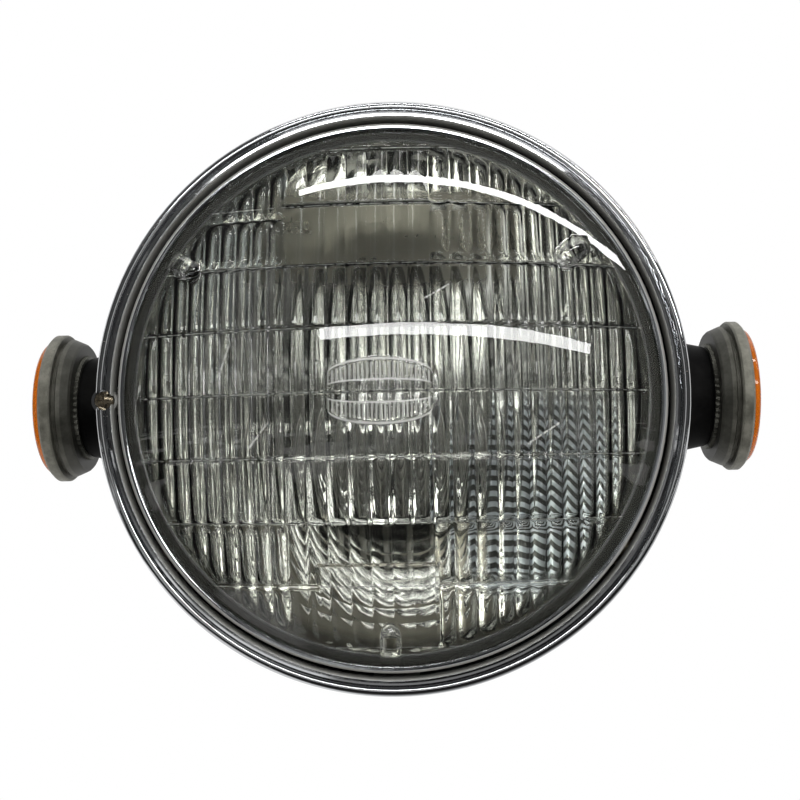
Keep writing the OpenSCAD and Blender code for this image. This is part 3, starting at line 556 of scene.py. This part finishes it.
class Grower(NodeBook):
    """A Geometry Nodes tree with named inputs, which grows one piece from a base mesh."""

    def __init__(self, name: str) -> None:
        """Starts a tree with a Geometry input and output."""
        tree = bpy.data.node_groups.new(name, "GeometryNodeTree")
        super().__init__(tree)
        tree.interface.new_socket("Geometry", in_out="INPUT", socket_type="NodeSocketGeometry")
        tree.interface.new_socket("Geometry", in_out="OUTPUT", socket_type="NodeSocketGeometry")
        self.sizes: dict[str, float] = {}
        self.entry = self.node("NodeGroupInput")

    def size(self, name: str, value: float) -> Term:
        """Adds a named input, whose value is set on the modifier."""
        self.tree.interface.new_socket(name, in_out="INPUT", socket_type="NodeSocketFloat")
        self.sizes[name] = value
        return self.term(self.entry, name)

    def lengths(self, owner: object, *names: str) -> Iterator[Term]:
        """Adds an input for each named length of an owner, which keeps them in millimetres."""
        return (self.size(name.replace("_", " ").capitalize(), getattr(owner, name) * MM) for name in names)

    def read(self, attribute: str) -> Term:
        """A number that the base mesh keeps for each point."""
        made = self.node("GeometryNodeInputNamedAttribute", {"data_type": "FLOAT"}, {"Name": attribute})
        return self.term(made, "Attribute")

    def position(self) -> Term:
        """Where each point is."""
        return self.term(self.node("GeometryNodeInputPosition"))

    def moved(self, geometry: object, place: Term) -> Node:
        """Puts each point of a geometry in its place."""
        return self.node("GeometryNodeSetPosition", {}, {"Geometry": geometry, "Position": place})

    def grow(self, name: str, base: Mesh, result: Term, material: Material) -> Object:
        """Ends the tree, grows the piece and makes it a plain mesh.

        Args:
            name: the piece's name.
            base: the base mesh.
            result: the tree's geometry.
            material: the piece's material.

        Returns:
            The piece, with no modifier left on it.
        """
        real = self.node("GeometryNodeRealizeInstances", {}, {0: result})
        dressed = self.node("GeometryNodeSetMaterial", {}, {"Geometry": real.outputs[0], "Material": material})
        self.node("NodeGroupOutput", {}, {"Geometry": dressed.outputs[0]})
        carrier = bpy.data.objects.new(name, base)
        modifier = carrier.modifiers.new("grow", "NODES")
        modifier.node_group = self.tree
        for item in self.tree.interface.items_tree:
            if item.in_out == "INPUT" and item.name in self.sizes:
                modifier[item.identifier] = self.sizes[item.name]
        link(carrier)
        graph = bpy.context.evaluated_depsgraph_get()
        grown = carrier.evaluated_get(graph)
        mesh = bpy.data.meshes.new_from_object(grown, preserve_all_data_layers=True, depsgraph=graph)
        mesh.name = name
        carrier.modifiers.clear()
        carrier.data = mesh
        return carrier


Finish = Chrome | Plating | Silvering | Enamel | Aluminium | Rusted | Rubber


def dress(finish: Finish, *nodes: str) -> None:
    """Gives CAD nodes one finish in all their slots."""
    material = finish.made()
    for name in nodes:
        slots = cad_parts[name].data.materials
        slots.clear()
        slots.append(material)
        log.info("dressed %s: %s", name, material.name)


def settle(piece: Object, body: str, slot: str, *nodes: str) -> Object:
    """Puts a piece on its body, in place of CAD nodes.

    Args:
        piece: the finished piece.
        body: the body that it rides on, or nothing where it stays on no body.
        slot: not used.
        nodes: the nodes that it stands for.

    Returns:
        The piece.
    """
    if body:
        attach(piece, body)
    if nodes:
        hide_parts(*nodes)
    log.info("built %s: %d faces, on %s", piece.name, len(piece.data.polygons), body or "two bodies")
    return piece


@dataclass
class FlutedGlass:
    """The glass of the beam unit: domed and smooth outside, fluted inside, with a bare badge and three nubs."""

    sphere: float = 156.0
    inner_sphere: float = 152.2
    centre: float = -94.0
    flute_area: float = 75.6
    grid_radius: float = 76.4
    middle_pitch: float = 6.1
    side_pitch: float = 4.9
    middle_reach: float = 30.5
    flute_depth: float = 1.15
    pane_depth: float = 0.22
    pane_left: float = -30.5
    pane_right: float = 12.2
    row_height: float = 18.6
    left_drop: float = 3.9
    block_top: float = -49.5
    block_left: float = -22.0
    block_right: float = 13.5
    row_lean: float = 1.1
    row_edge: float = 0.08
    grid_fine: float = 0.42
    grid_coarse: float = 1.2
    fine_until: float = 10.6
    steps: int = 8
    badge: tuple[float, float, float, float] = (-2.5, 0.0, 30.5, 19.2)
    badge_rise: float = 0.55
    badge_bow: float = 0.9
    band_start: float = 3.1
    band_lip: float = 0.9
    band_inset: float = 1.2
    fade: float = 0.4
    rib_pitch: float = 1.25
    rib_depth: float = 0.42
    nubs: tuple[tuple[float, float], ...] = ((147.5, 72.6), (36.9, 68.2), (269.0, 74.3))
    nub_radius: float = 2.9
    nub_length: float = 11.0
    edge: tuple[tuple[float, float], ...] = ((78.6, 0.0), (80.2, 0.0), (80.72, 0.0), (80.75, 39.12),
                                             (81.75, 39.1), (81.75, 35.6), (77.4, 35.6), (77.4, 36.9))

    def _columns(self) -> list[float]:
        """The grid's lines across the glass: eight to a flute, finer at the badge and the nubs."""
        lines: set[float] = {-self.grid_radius, self.grid_radius}
        middle = self.middle_reach / self.middle_pitch
        x = number = 0.0
        while x <= self.grid_radius:
            lines |= {round(x, 3), round(-x, 3)}
            number += 1.0 / self.steps
            x = min(number, middle) * self.middle_pitch + max(number - middle, 0.0) * self.side_pitch
        x0, _, width, _ = self.badge
        lines = {x for x in lines if abs(x - x0) > width / 2 + 1.0}
        fine = int((width + 2.0) / (self.rib_pitch / 4))
        lines |= {round(x0 - width / 2 - 1.0 + i * (width + 2.0) / fine, 3) for i in range(fine + 1)}
        return sorted(lines)

    def _rows(self) -> list[float]:
        """The grid's lines down the glass: a close pair at each row's edge, finer at the badge."""
        lines: set[float] = {-self.grid_radius, self.grid_radius}
        z = -self.grid_radius
        while z < self.grid_radius:
            lines.add(round(z, 3))
            z += self.grid_fine if abs(z) < self.fine_until else self.grid_coarse
        edges = [n * self.row_height for n in range(-4, 5)] + [3 * self.row_height - self.left_drop, self.block_top]
        lines = {z for z in lines if all(abs(z - e) > 0.45 for e in edges)}
        for e in edges:
            lines |= {round(e - self.row_edge, 3), round(e + self.row_edge, 3)}
        return sorted(z for z in lines if abs(z) <= self.grid_radius)

    def _disc(self) -> tuple[list[tuple[float, float]], list[list[int]]]:
        """A round grid, its columns cut off at the circle: its places across and down, and its faces."""
        places: list[tuple[float, float]] = []
        known: dict[tuple[float, float], int] = {}
        rows = self._rows()
        columns = self._columns()

        def index(x: float, z: float) -> int:
            """The number of a place, cut off at the circle."""
            reach = math.sqrt(max(self.grid_radius ** 2 - x * x, 0.0))
            key = (round(x, 4), round(max(-reach, min(reach, z)), 4))
            if key not in known:
                known[key] = len(places)
                places.append(key)
            return known[key]

        faces = []
        for a, b in zip(columns, columns[1:]):
            for c, d in zip(rows, rows[1:]):
                corners = list(dict.fromkeys((index(a, c), index(b, c), index(b, d), index(a, d))))
                if len(corners) > 2:
                    faces.append(corners)
        return places, faces

    def _base(self) -> Mesh:
        """Two flat discs joined round their edge: the outer one is marked outside, the inner one inside."""
        places, faces = self._disc()
        sides = dict.fromkeys((a, b) for face in faces for a, b in zip(face, face[1:] + face[:1]))
        loop = {a: b for (a, b) in sides if (b, a) not in sides}
        start = next(iter(loop))
        ring = [start]
        while loop[ring[-1]] != start:
            ring.append(loop[ring[-1]])
        total = len(places)
        points = [(x * MM, -0.05, z * MM) for x, z in places] + [(x * MM, -0.045, z * MM) for x, z in places]
        outside, inside = [1.0] * total + [0.0] * total, [0.0] * total + [1.0] * total
        all_faces = faces + [[i + total for i in reversed(face)] for face in faces]
        last = ring

        def join(new: list[int]) -> None:
            """Adds the faces between the last ring of points and a new one."""
            for i in range(len(new)):
                j = (i + 1) % len(new)
                all_faces.append([last[j], last[i], new[i], new[j]])

        for radius, front in self.edge:
            front = front or self.centre + math.sqrt(self.sphere ** 2 - radius ** 2)
            fresh = []
            for i in ring:
                x, z = places[i]
                grow = radius / math.hypot(x, z)
                fresh.append(len(points))
                points.append((x * grow * MM, -front * MM, z * grow * MM))
            outside += [0.0] * len(ring)
            inside += [0.0] * len(ring)
            join(fresh)
            last = fresh
        join([i + total for i in ring])
        mesh = plain_mesh("glass_base", points, all_faces)
        for name, values in (("outside", outside), ("inside", inside)):
            mesh.attributes.new(name, "FLOAT", "POINT").data.foreach_set("value", values)
        return mesh

    def _outer_face(self, g: Grower, x: Term, z: Term) -> Term:
        """How far forward the outer face lies: dome, badge, its ribs, and nubs."""
        sphere = g.size("Outer radius", self.sphere * MM)
        dome = g.size("Outer centre", self.centre * MM) + (sphere ** 2.0 - x * x - z * z).root()
        x0, _, width, height = (v * MM for v in self.badge)
        bow, soft, fade = width * self.badge_bow, 2 * self.fade * MM, self.fade * MM
        across = x - x0
        low = (across * across + (z - (height / 2 - bow)) ** 2.0).root()
        high = (across * across + (z + (height / 2 - bow)) ** 2.0).root()
        shape = across.size().ramp(width / 2, width / 2 - soft) * low.ramp(bow, bow - soft) * high.ramp(bow, bow - soft)
        start, end, lip = self.band_start * MM, width / 2 - self.band_inset * MM, bow - self.band_lip * MM
        inner = across.size().ramp(end, end - fade)
        band = z.size().ramp(start, start + fade) * low.ramp(lip, lip - fade) * high.ramp(lip, lip - fade)
        pitch, depth, badge_rise, radius = g.lengths(self, "rib_pitch", "rib_depth", "badge_rise", "nub_radius")
        ribs = (0.5 + 0.5 * (across * FULL_TURN / pitch).sine()) * band * inner * depth
        front = dome + shape * badge_rise - ribs * shape
        for angle, circle in self.nubs:
            c, s = math.cos(math.radians(angle)), math.sin(math.radians(angle))
            out = x * c + z * s - circle * MM
            side = z * c - x * s
            past = (out.size() - (self.nub_length / 2 - self.nub_radius) * MM).at_least(0.0)
            front = front + (radius * radius - past * past - side * side).root() * 0.8
        return front

    def _inner_face(self, g: Grower, x: Term, z: Term) -> Term:
        """How far forward the inner face lies: dome, leaning rows, flutes and their rounded ends."""
        sphere = g.size("Inner radius", self.inner_sphere * MM)
        dome = g.size("Inner centre", self.centre * MM) + (sphere ** 2.0 - x * x - z * z).root()
        height, drop, middle, wide, narrow = g.lengths(
            self, "row_height", "left_drop", "middle_reach", "middle_pitch", "side_pitch")
        top, block_left, block_right, pane_left, pane_right = g.lengths(
            self, "block_top", "block_left", "block_right", "pane_left", "pane_right")
        area, flute, shallow = g.lengths(self, "flute_area", "flute_depth", "pane_depth")
        upper_left = (x < self.pane_left * MM) * (z > 2.4 * self.row_height * MM)
        dropped = z + drop * upper_left
        row = (dropped / height).floor()
        block = (z < top) * (x > block_left) * (x < block_right)
        rise = (dropped - row * height) * (1.0 - block) + (z - top + height) * block
        far = x.size()
        number = far.at_most(middle) / wide + (far - middle).at_least(0.0) / narrow
        part = number % 1.0
        hollow = 4.0 * part * (1.0 - part)
        edge = area - (x * x + z * z).root()
        upper = (row > 1.5) + (row < -2.5)
        pane = (upper * (x > pane_left) * (x < pane_right)).at_least(block)
        deep = (upper + 0.6).at_most(1.0) * (1.0 - pane)
        row_end = rise.at_most(height - rise)
        tip = edge.at_most(row_end * deep + (1.0 - deep)).ramp(0.0, 0.0034)
        cup = (hollow - (1.0 - tip) * (1.0 - tip)).at_least(0.0)
        lean = (rise - height * 0.5) * g.size("Row lean", math.tan(math.radians(self.row_lean))) * (edge > 0.0)
        return dome + 0.1 * MM + cup * (flute * (1.0 - pane) + shallow * pane) + lean

    def build(self) -> Object:
        """Grows the glass and puts it in place of its CAD node."""
        g = Grower("glass flutes")
        x, y, z = g.axes(g.position())
        outside, inside = g.read("outside"), g.read("inside")
        noise = g.node("ShaderNodeTexNoise", {}, {"Scale": g.size("Ripple scale", 170.0), "Detail": 2.0})
        ripple = g.term(noise, "Fac") - 0.5
        front = outside * self._outer_face(g, x, z) \
            + inside * (self._inner_face(g, x, z) + ripple * g.size("Ripple", 0.05 * MM)) \
            + (1.0 - outside - inside) * (0.0 - y)
        moved = g.moved(g.term(g.entry, "Geometry"), g.vector(x, 0.0 - front, z))
        piece = g.grow("fluted_glass", self._base(), g.term(moved), Glass().made())
        return settle(piece, "beam_unit", "lens_glass", "lens_glass")


@dataclass
class Coil:
    """A round wire wound on a straight axis, left on no body where start_body is named."""

    name: str
    body: str
    node: str
    start: Point
    along: Point
    radius: float
    wire: float
    turns: float
    length: float
    closed: float = 0.0
    start_body: str = ""

    def build(self, material: Material) -> Object:
        """Grows the coil in its finish."""
        g = Grower(self.name)
        line = g.node("GeometryNodeCurvePrimitiveLine", {"mode": "POINTS"})
        count = int((self.turns + 2 * self.closed) * 20)
        points = g.node("GeometryNodeResampleCurve", {"mode": "COUNT"}, {"Curve": line.outputs[0], "Count": count})
        along = g.term(g.node("GeometryNodeSplineParameter"), "Factor")
        turn = along * g.size("Turns", self.turns + 2 * self.closed)
        wire, length, radius = g.lengths(self, "wire", "length", "radius")
        closed, open_turns = g.size("Closed turns", self.closed), g.size("Open turns", self.turns)
        flat = turn.at_most(closed) + (turn - closed - open_turns).at_least(0.0) - closed
        rise = flat * 2.0 * wire + (turn - closed).at_least(0.0).at_most(open_turns) / open_turns * length
        angle = turn * FULL_TURN
        wound = g.vector(radius * (angle + FULL_TURN / 4).sine(), radius * angle.sine(), rise)
        moved = g.moved(points.outputs[0], wound)
        tube = g.node("GeometryNodeCurvePrimitiveCircle", {"mode": "RADIUS"}, {"Resolution": 10, "Radius": wire})
        solid = g.node("GeometryNodeCurveToMesh", {},
                       {"Curve": moved.outputs[0], "Profile Curve": tube.outputs[0], "Fill Caps": True})
        piece = g.grow(self.name, bpy.data.meshes.new(self.name), g.term(solid), material)
        turned = Vector((0, 0, 1)).rotation_difference(Vector(self.along)).to_matrix().to_4x4()
        piece.data.transform(Matrix.Translation(Vector(self.start) * MM) @ turned)
        piece.data.shade_smooth()
        if not self.start_body:
            return settle(piece, self.body, self.node, self.node)
        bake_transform(piece)
        return settle(piece, "", self.node, self.node)


@dataclass
class BeamUnit:
    """The beam unit: glass, silvered bowl, shield, filaments, and the rings that hold it."""

    glass: FlutedGlass = field(default_factory=FlutedGlass)
    filament_turns: float = 7.0
    filament_inset: float = 0.1

    def build(self) -> None:
        """Builds and dresses the beam unit."""
        self.glass.build()
        dress(Silvering(), "reflector_bowl")
        dress(Chrome("ring chrome", (0.58, 0.60, 0.62), haze=0.06, flecks=0.3), "retaining_ring")
        dress(Plating(metal=0.35), "mounting_ring", "ring_screws", "pivot_nuts")
        dress(Plating("bright shield", (0.62, 0.62, 0.61), (0.4, 0.38, 0.34), 0.2, 0.1), "filament_shield")
        dress(Plating("post wire", (0.42, 0.41, 0.39), (0.2, 0.18, 0.15), 0.3, 0.2), "filament_posts")
        dress(Plating("tinned brass", (0.66, 0.58, 0.38), (0.34, 0.24, 0.12), 0.3, 0.3), "terminal_blades")
        wire = Plating("filament wire", (0.30, 0.29, 0.28), (0.16, 0.15, 0.14), 0.35, 0.2).made()
        for name in ("main_filament", "dip_filament"):
            low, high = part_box(name)
            middle, size = (low + high) / 2, high - low
            radius = size.z / 2 / MM
            start = (low.x / MM + self.filament_inset, middle.y / MM, middle.z / MM)
            Coil(f"{name}_coil", "beam_unit", name, start, (1, 0, 0), radius * 0.8, radius * 0.2, self.filament_turns,
                 size.x / MM - 2 * self.filament_inset).build(wire)


@dataclass
class Housing:
    """The case, its rim, screws, pivots, grommet and the adjuster's spring."""

    spring_x: float = -87.4
    spring_radius: float = 2.2
    spring_wire: float = 0.3
    spring_turns: float = 5.0

    def _spring(self) -> Coil:
        """The adjuster's spring, from the beam unit's ear to its seat in the rim."""
        low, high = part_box("adjuster_spring")
        start = (self.spring_x, high.y / MM - 3 * self.spring_wire, 0.0)
        length = (high.y - low.y) / MM - 6 * self.spring_wire
        return Coil("adjuster_spring_coil", "housing", "adjuster_spring", start, (0, -1, 0), self.spring_radius,
                    self.spring_wire, self.spring_turns, length, closed=1.0, start_body="beam_unit")

    def build(self) -> None:
        """Dresses the housing and winds its spring."""
        dress(Chrome(), "rim")
        dress(Enamel(rough=0.4, coat=0.12), "headlight_case")
        dress(Plating("old zinc plate"), "top_pivot_screw", "bottom_pivot_screw", "rim_screws", "rim_clip_nuts")
        dress(Rubber(), "wiring_grommet")
        dress(Rusted(), "adjuster_screw")
        self._spring().build(Plating("spring wire", (0.40, 0.38, 0.33), (0.2, 0.13, 0.07), 0.35, 0.5).made())


class Side(Enum):
    """Which side of the headlight, as the sign of x."""

    LEFT = -1
    RIGHT = 1


@dataclass
class SideReflector:
    """A collar, serrated ring, turned cup and amber reflector on its bolt."""

    side: Side
    lens_radius: float = 22.0
    lens_back: float = 110.4
    lens_end: float = 115.2
    dome: float = 1.8
    prism_pitch: float = 2.6
    prism_height: float = 1.1
    wall: float = 1.4
    recess: float = 1.9
    lens_steps: int = 96

    def _lens_mesh(self) -> Mesh:
        """The lens's closed shell: flat back, straight edge with a small bevel, domed face."""
        radius, back, end = self.lens_radius, self.lens_back, self.lens_end
        bend = (radius ** 2 + self.dome ** 2) / (2 * self.dome)
        hollow = radius - self.wall
        profile = [(0.0, back + self.recess), (hollow, back + self.recess), (hollow, back + 0.02),
                   (radius, back + 0.02), (radius, end - 0.9), (radius - 0.12, end - 0.45), (radius - 0.45, end - 0.1)]
        steps = 13
        for i in range(steps + 1):
            r = (radius - 0.8) * (1 - i / steps)
            profile.append((r, end + self.dome - bend + math.sqrt(bend ** 2 - r ** 2)))
        mesh = bmesh.new()
        ring = [mesh.verts.new((x * MM, r * MM, 0.0)) for r, x in profile]
        edges = [mesh.edges.new(pair) for pair in zip(ring, ring[1:])]
        bmesh.ops.spin(mesh, geom=ring + edges, cent=(0, 0, 0), axis=(1, 0, 0), angle=FULL_TURN,
                       steps=self.lens_steps, use_merge=True)
        bmesh.ops.remove_doubles(mesh, verts=mesh.verts, dist=1e-6)
        bmesh.ops.recalc_face_normals(mesh, faces=mesh.faces)
        if self.side is Side.LEFT:
            bmesh.ops.scale(mesh, vec=(-1, 1, 1), verts=mesh.verts)
            bmesh.ops.recalc_face_normals(mesh, faces=mesh.faces)
        data = bpy.data.meshes.new("amber_shell")
        mesh.to_mesh(data)
        mesh.free()
        data.shade_smooth()
        data.set_sharp_from_angle(angle=math.radians(35))
        return data

    def _facets(self, material: Material) -> Object:
        """Grows the plate of small three-sided prisms that lies behind the lens."""
        g = Grower("reflex prisms")
        pitch, height = g.lengths(self, "prism_pitch", "prism_height")
        reach = g.size("Plate radius", (self.lens_radius - self.wall) * MM)
        count = int(2 * self.lens_radius / self.prism_pitch) + 2
        wide = self.prism_pitch * MM
        row_gap = wide * 0.866
        grid = g.node("GeometryNodeMeshGrid", {}, {"Size X": count * wide, "Size Y": count * row_gap,
                                                   "Vertices X": count + 1, "Vertices Y": count + 1})
        x, y, _ = g.axes(g.position())
        row = (y / row_gap).floor() % 2.0
        shifted = g.moved(grid.outputs[0], g.vector(x + row * 0.5 * pitch, y, 0.0))
        x, y, _ = g.axes(g.position())
        inside = (x * x + y * y).root() < reach - 0.0012
        kept = g.node("GeometryNodeSeparateGeometry", {"domain": "POINT"},
                      {"Geometry": shifted.outputs[0], "Selection": inside})
        prism = g.node("GeometryNodeMeshCone", {"fill_type": "NGON"},
                       {"Vertices": 6, "Radius Top": 0.0, "Radius Bottom": wide * 0.56, "Depth": height})
        prisms = g.node("GeometryNodeInstanceOnPoints", {},
                        {"Points": kept.outputs[0], "Instance": prism.outputs["Mesh"]})
        plate = g.node("GeometryNodeMeshCylinder", {"fill_type": "NGON"},
                       {"Vertices": 64, "Radius": reach, "Depth": 0.4 * MM})
        joined = g.node("GeometryNodeJoinGeometry", {}, {})
        g.tree.links.new(prisms.outputs[0], joined.inputs[0])
        g.tree.links.new(plate.outputs["Mesh"], joined.inputs[0])
        name = f"{self.side.name.lower()}_reflex_prisms"
        piece = g.grow(name, bpy.data.meshes.new(name), g.term(joined), material)
        quarter = Matrix.Rotation(math.radians(90 * self.side.value), 4, "Y")
        piece.data.transform(Matrix.Translation((self.side.value * (self.lens_back + 0.25) * MM, 0, 0)) @ quarter)
        return piece

    def build(self, amber: Material, reflex: Material) -> None:
        """Builds the lens and the prisms behind it, and dresses the rest."""
        side = self.side.name.lower()
        lens = link(bpy.data.objects.new(f"{side}_reflector_lens", self._lens_mesh()))
        lens.data.materials.append(amber)
        settle(lens, "housing", f"{side}_amber_lens", f"{side}_amber_lens")
        settle(self._facets(reflex), "housing", f"{side}_amber_lens")
        dress(Enamel(f"{side} satin black", (0.003, 0.003, 0.003), rough=0.46, wear=0.5, coat=0.0, shine=0.03),
              f"{side}_collar")
        dress(Aluminium(f"{side} serrated aluminium", (0.10, 0.10, 0.085), (0.2, 0.2, 0.17), metal=0.7),
              f"{side}_serrated_ring")
        # Painted shade: the left cup's body is shaded a little more than the right's.
        body_light_share = 0.4 if self.side is Side.LEFT else 0.45
        dress(Aluminium(f"{side} turned aluminium", body_light=body_light_share, step_shade=0.85), f"{side}_reflector_base")
        dress(Rubber(f"{side} gasket rubber"), f"{side}_lens_gasket")
        hardware = ("mount_bolt", "flat_washer", "spring_washer", "mount_nut")
        dress(Plating(f"{side} zinc plate"), *(f"{side}_{name}" for name in hardware))


@dataclass(frozen=True)
class Lamp:
    """One area lamp, a band between two ends that faces the headlight."""

    name: str
    start: Point
    end: Point
    width: float
    radiance: float

    def hang(self) -> None:
        """Adds the lamp."""
        first, last = Vector(self.start), Vector(self.end)
        middle, reach = (first + last) / 2, (last - first).length
        across = (last - first).normalized()
        back = (middle - across * middle.dot(across)).normalized()
        data = bpy.data.lights.new(self.name, "AREA")
        data.shape = "RECTANGLE"
        data.size, data.size_y = reach, self.width
        data.energy = self.radiance * math.pi * reach * self.width
        lamp = link(bpy.data.objects.new(self.name, data))
        turn = Matrix((across, back.cross(across), back)).transposed().to_4x4()
        lamp.matrix_world = Matrix.Translation(middle) @ turn


@dataclass
class Studio:
    """Camera, lamps, white surroundings and a pale floor."""

    camera_place: Point = (0.013, -0.400, -0.022)
    aim: Point = (0.00262, -0.03981, -0.00157)
    pixels_per_radian: float = 1200.4
    picture_width: float = 800.0
    roll: float = -1.0
    floor_height: float = -0.22
    floor_half: float = 3.0
    soft_light: float = 0.34
    shadow: float = 0.22
    lamps: tuple[Lamp, ...] = (
        Lamp("upper strip", (-0.473, -0.577, 1.065), (1.338, -0.432, 0.763), 0.042, 24.0),
        Lamp("front strip", (-0.396, -1.069, 0.373), (1.081, -0.836, 0.307), 0.060, 16.0),
        Lamp("ceiling", (-0.8, 0.2, 1.9), (1.4, 0.2, 1.9), 1.1, 0.8),
    )

    def camera(self) -> None:
        """Adds the camera at the photograph's viewing angle."""
        data = bpy.data.cameras.new("camera")
        data.sensor_width = 36.0
        data.lens = self.pixels_per_radian / self.picture_width * data.sensor_width
        data.clip_start = 0.01
        camera = link(bpy.data.objects.new("camera", data))
        toward = (Vector(self.aim) - Vector(self.camera_place)).normalized()
        turn = toward.to_track_quat("-Z", "Y").to_matrix().to_4x4() @ Matrix.Rotation(math.radians(self.roll), 4, "Z")
        camera.matrix_world = Matrix.Translation(self.camera_place) @ turn
        bpy.context.scene.camera = camera

    @staticmethod
    def _room(b: NodeBook, x: Term, z: Term) -> Term:
        """What the glass and the bowl behind it see in front: a dark room with lit patches, a tube and a blind."""
        place = b.vector(x * 1.1, 0.0, z * 0.5)
        patches = b.term(b.node("ShaderNodeTexNoise", {}, {"Vector": place, "Scale": 5.0, "Detail": 1.0}), "Fac")
        lit = 0.7 * patches.ramp(0.53, 0.545) + 5.0 * patches.ramp(0.61, 0.62)
        lit = lit * (0.8 - 0.8 * x).at_least(0.1) * z.ramp(-0.85, -0.3)
        tube = 6.0 * (z - 0.11).size().ramp(0.042, 0.032) * (x - 0.14).size().ramp(0.20, 0.18)
        window = z.ramp(0.02, 0.03) * z.ramp(0.29, 0.28) * x.ramp(-0.05, -0.07) * x.ramp(-0.48, -0.46)
        blind = window * 2.2 * (z * (FULL_TURN / 0.026)).sine().ramp(0.1, 0.4)
        return 0.015 + (x * x + z * z).root().ramp(0.06, 0.12) * (lit * (1.0 - window) + tube + blind)

    @staticmethod
    def _shop(x: Term, z: Term) -> Term:
        """What the chrome sees in front: a dim room with a few lines of light, and the viewer's pale shape."""
        ahead = (x * x + z * z).root()
        lines = 0.12 * (z - 0.52).size().ramp(0.035, 0.02) + 0.10 * (x.size() - 0.62).size().ramp(0.04, 0.02)
        return 0.04 + 0.05 * z.ramp(-0.2, 0.8) + lines + 0.30 * ahead.ramp(0.24, 0.16) + 0.5 * ahead.ramp(0.09, 0.06)

    def world(self) -> None:
        """White behind the headlight for camera, metal and glass; a dark room in front; soft light for the rest."""
        world = bpy.data.worlds.new("surroundings")
        world.use_nodes = True
        bpy.context.scene.world = world
        b = NodeBook(world.node_tree)
        x, y, z = b.axes(b.term(b.node("ShaderNodeTexCoord"), "Generated"))
        ray = b.node("ShaderNodeLightPath")
        seen, glossy, through = (b.term(ray, k) for k in ("Is Camera Ray", "Is Glossy Ray", "Is Transmission Ray"))
        behind = y.ramp(0.05, 0.25)
        metal = glossy * (1.0 - through)
        ahead = through * self._room(b, x, z) + metal * self._shop(x, z)
        level = (through + metal) * behind + (1.0 - behind) * ahead
        level = seen + (1.0 - seen) * (level + (1.0 - (glossy + through).at_most(1.0)) * self.soft_light)
        light = b.node("ShaderNodeBackground", {}, {"Color": (1.0, 1.0, 1.0), "Strength": level})
        b.node("ShaderNodeOutputWorld", {}, {"Surface": light.outputs[0]})

    def floor(self) -> None:
        """Adds the pale floor, which the camera sees as white with the headlight's soft shadow."""
        half = self.floor_half
        corners = [(-half, -half), (half, -half), (half, half), (-half, half)]
        mesh = plain_mesh("floor", [(x, y, self.floor_height) for x, y in corners], [[0, 1, 2, 3]])
        floor = link(bpy.data.objects.new("floor", mesh))
        p = Paint("floor paper")
        ray = p.node("ShaderNodeLightPath")
        x, y, _ = p.axes(p.place)
        camera = p.term(ray, "Is Camera Ray")
        mirrored = (p.term(ray, "Is Glossy Ray") + p.term(ray, "Is Transmission Ray")).at_most(1.0)
        near = (x * x + y * y).root().ramp(0.32, 0.10)
        patches = p.noise(3.0, 1).ramp(0.55, 0.58)
        level = camera + mirrored * (y.ramp(-0.12, 0.1) + 0.02 + 0.7 * patches)
        grain = p.noise(60, 3).ramp(0.2, 0.8)
        paper = p.surface(Base_Color=p.mix(grain * 0.2, (0.80, 0.79, 0.78), (0.74, 0.73, 0.71)), Roughness=0.8)
        white = p.surface(Base_Color=(0.0, 0.0, 0.0), Roughness=1.0, Specular_IOR_Level=0.0, Emission_Strength=1.0,
                          Emission_Color=p.mix(level, (0.0, 0.0, 0.0), (1.0, 1.0, 1.0)))
        mesh.materials.append(p.done(p.over(paper, white, mirrored.at_least(camera * (1.0 - self.shadow * near)))))

    def build(self) -> None:
        """Builds the studio."""
        self.camera()
        self.world()
        self.floor()
        for lamp in self.lamps:
            lamp.hang()
        bpy.context.scene.view_settings.view_transform = "Standard"
        log.info("studio: %d lamps", len(self.lamps))


def main() -> None:
    """Builds the studio and each sub-assembly in order."""
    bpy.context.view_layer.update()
    Studio().build()
    BeamUnit().build()
    Housing().build()
    amber, reflex = Amber().made(), Reflex().made()
    for side in Side:
        SideReflector(side).build(amber, reflex)


if __name__ == "__main__":
    main()
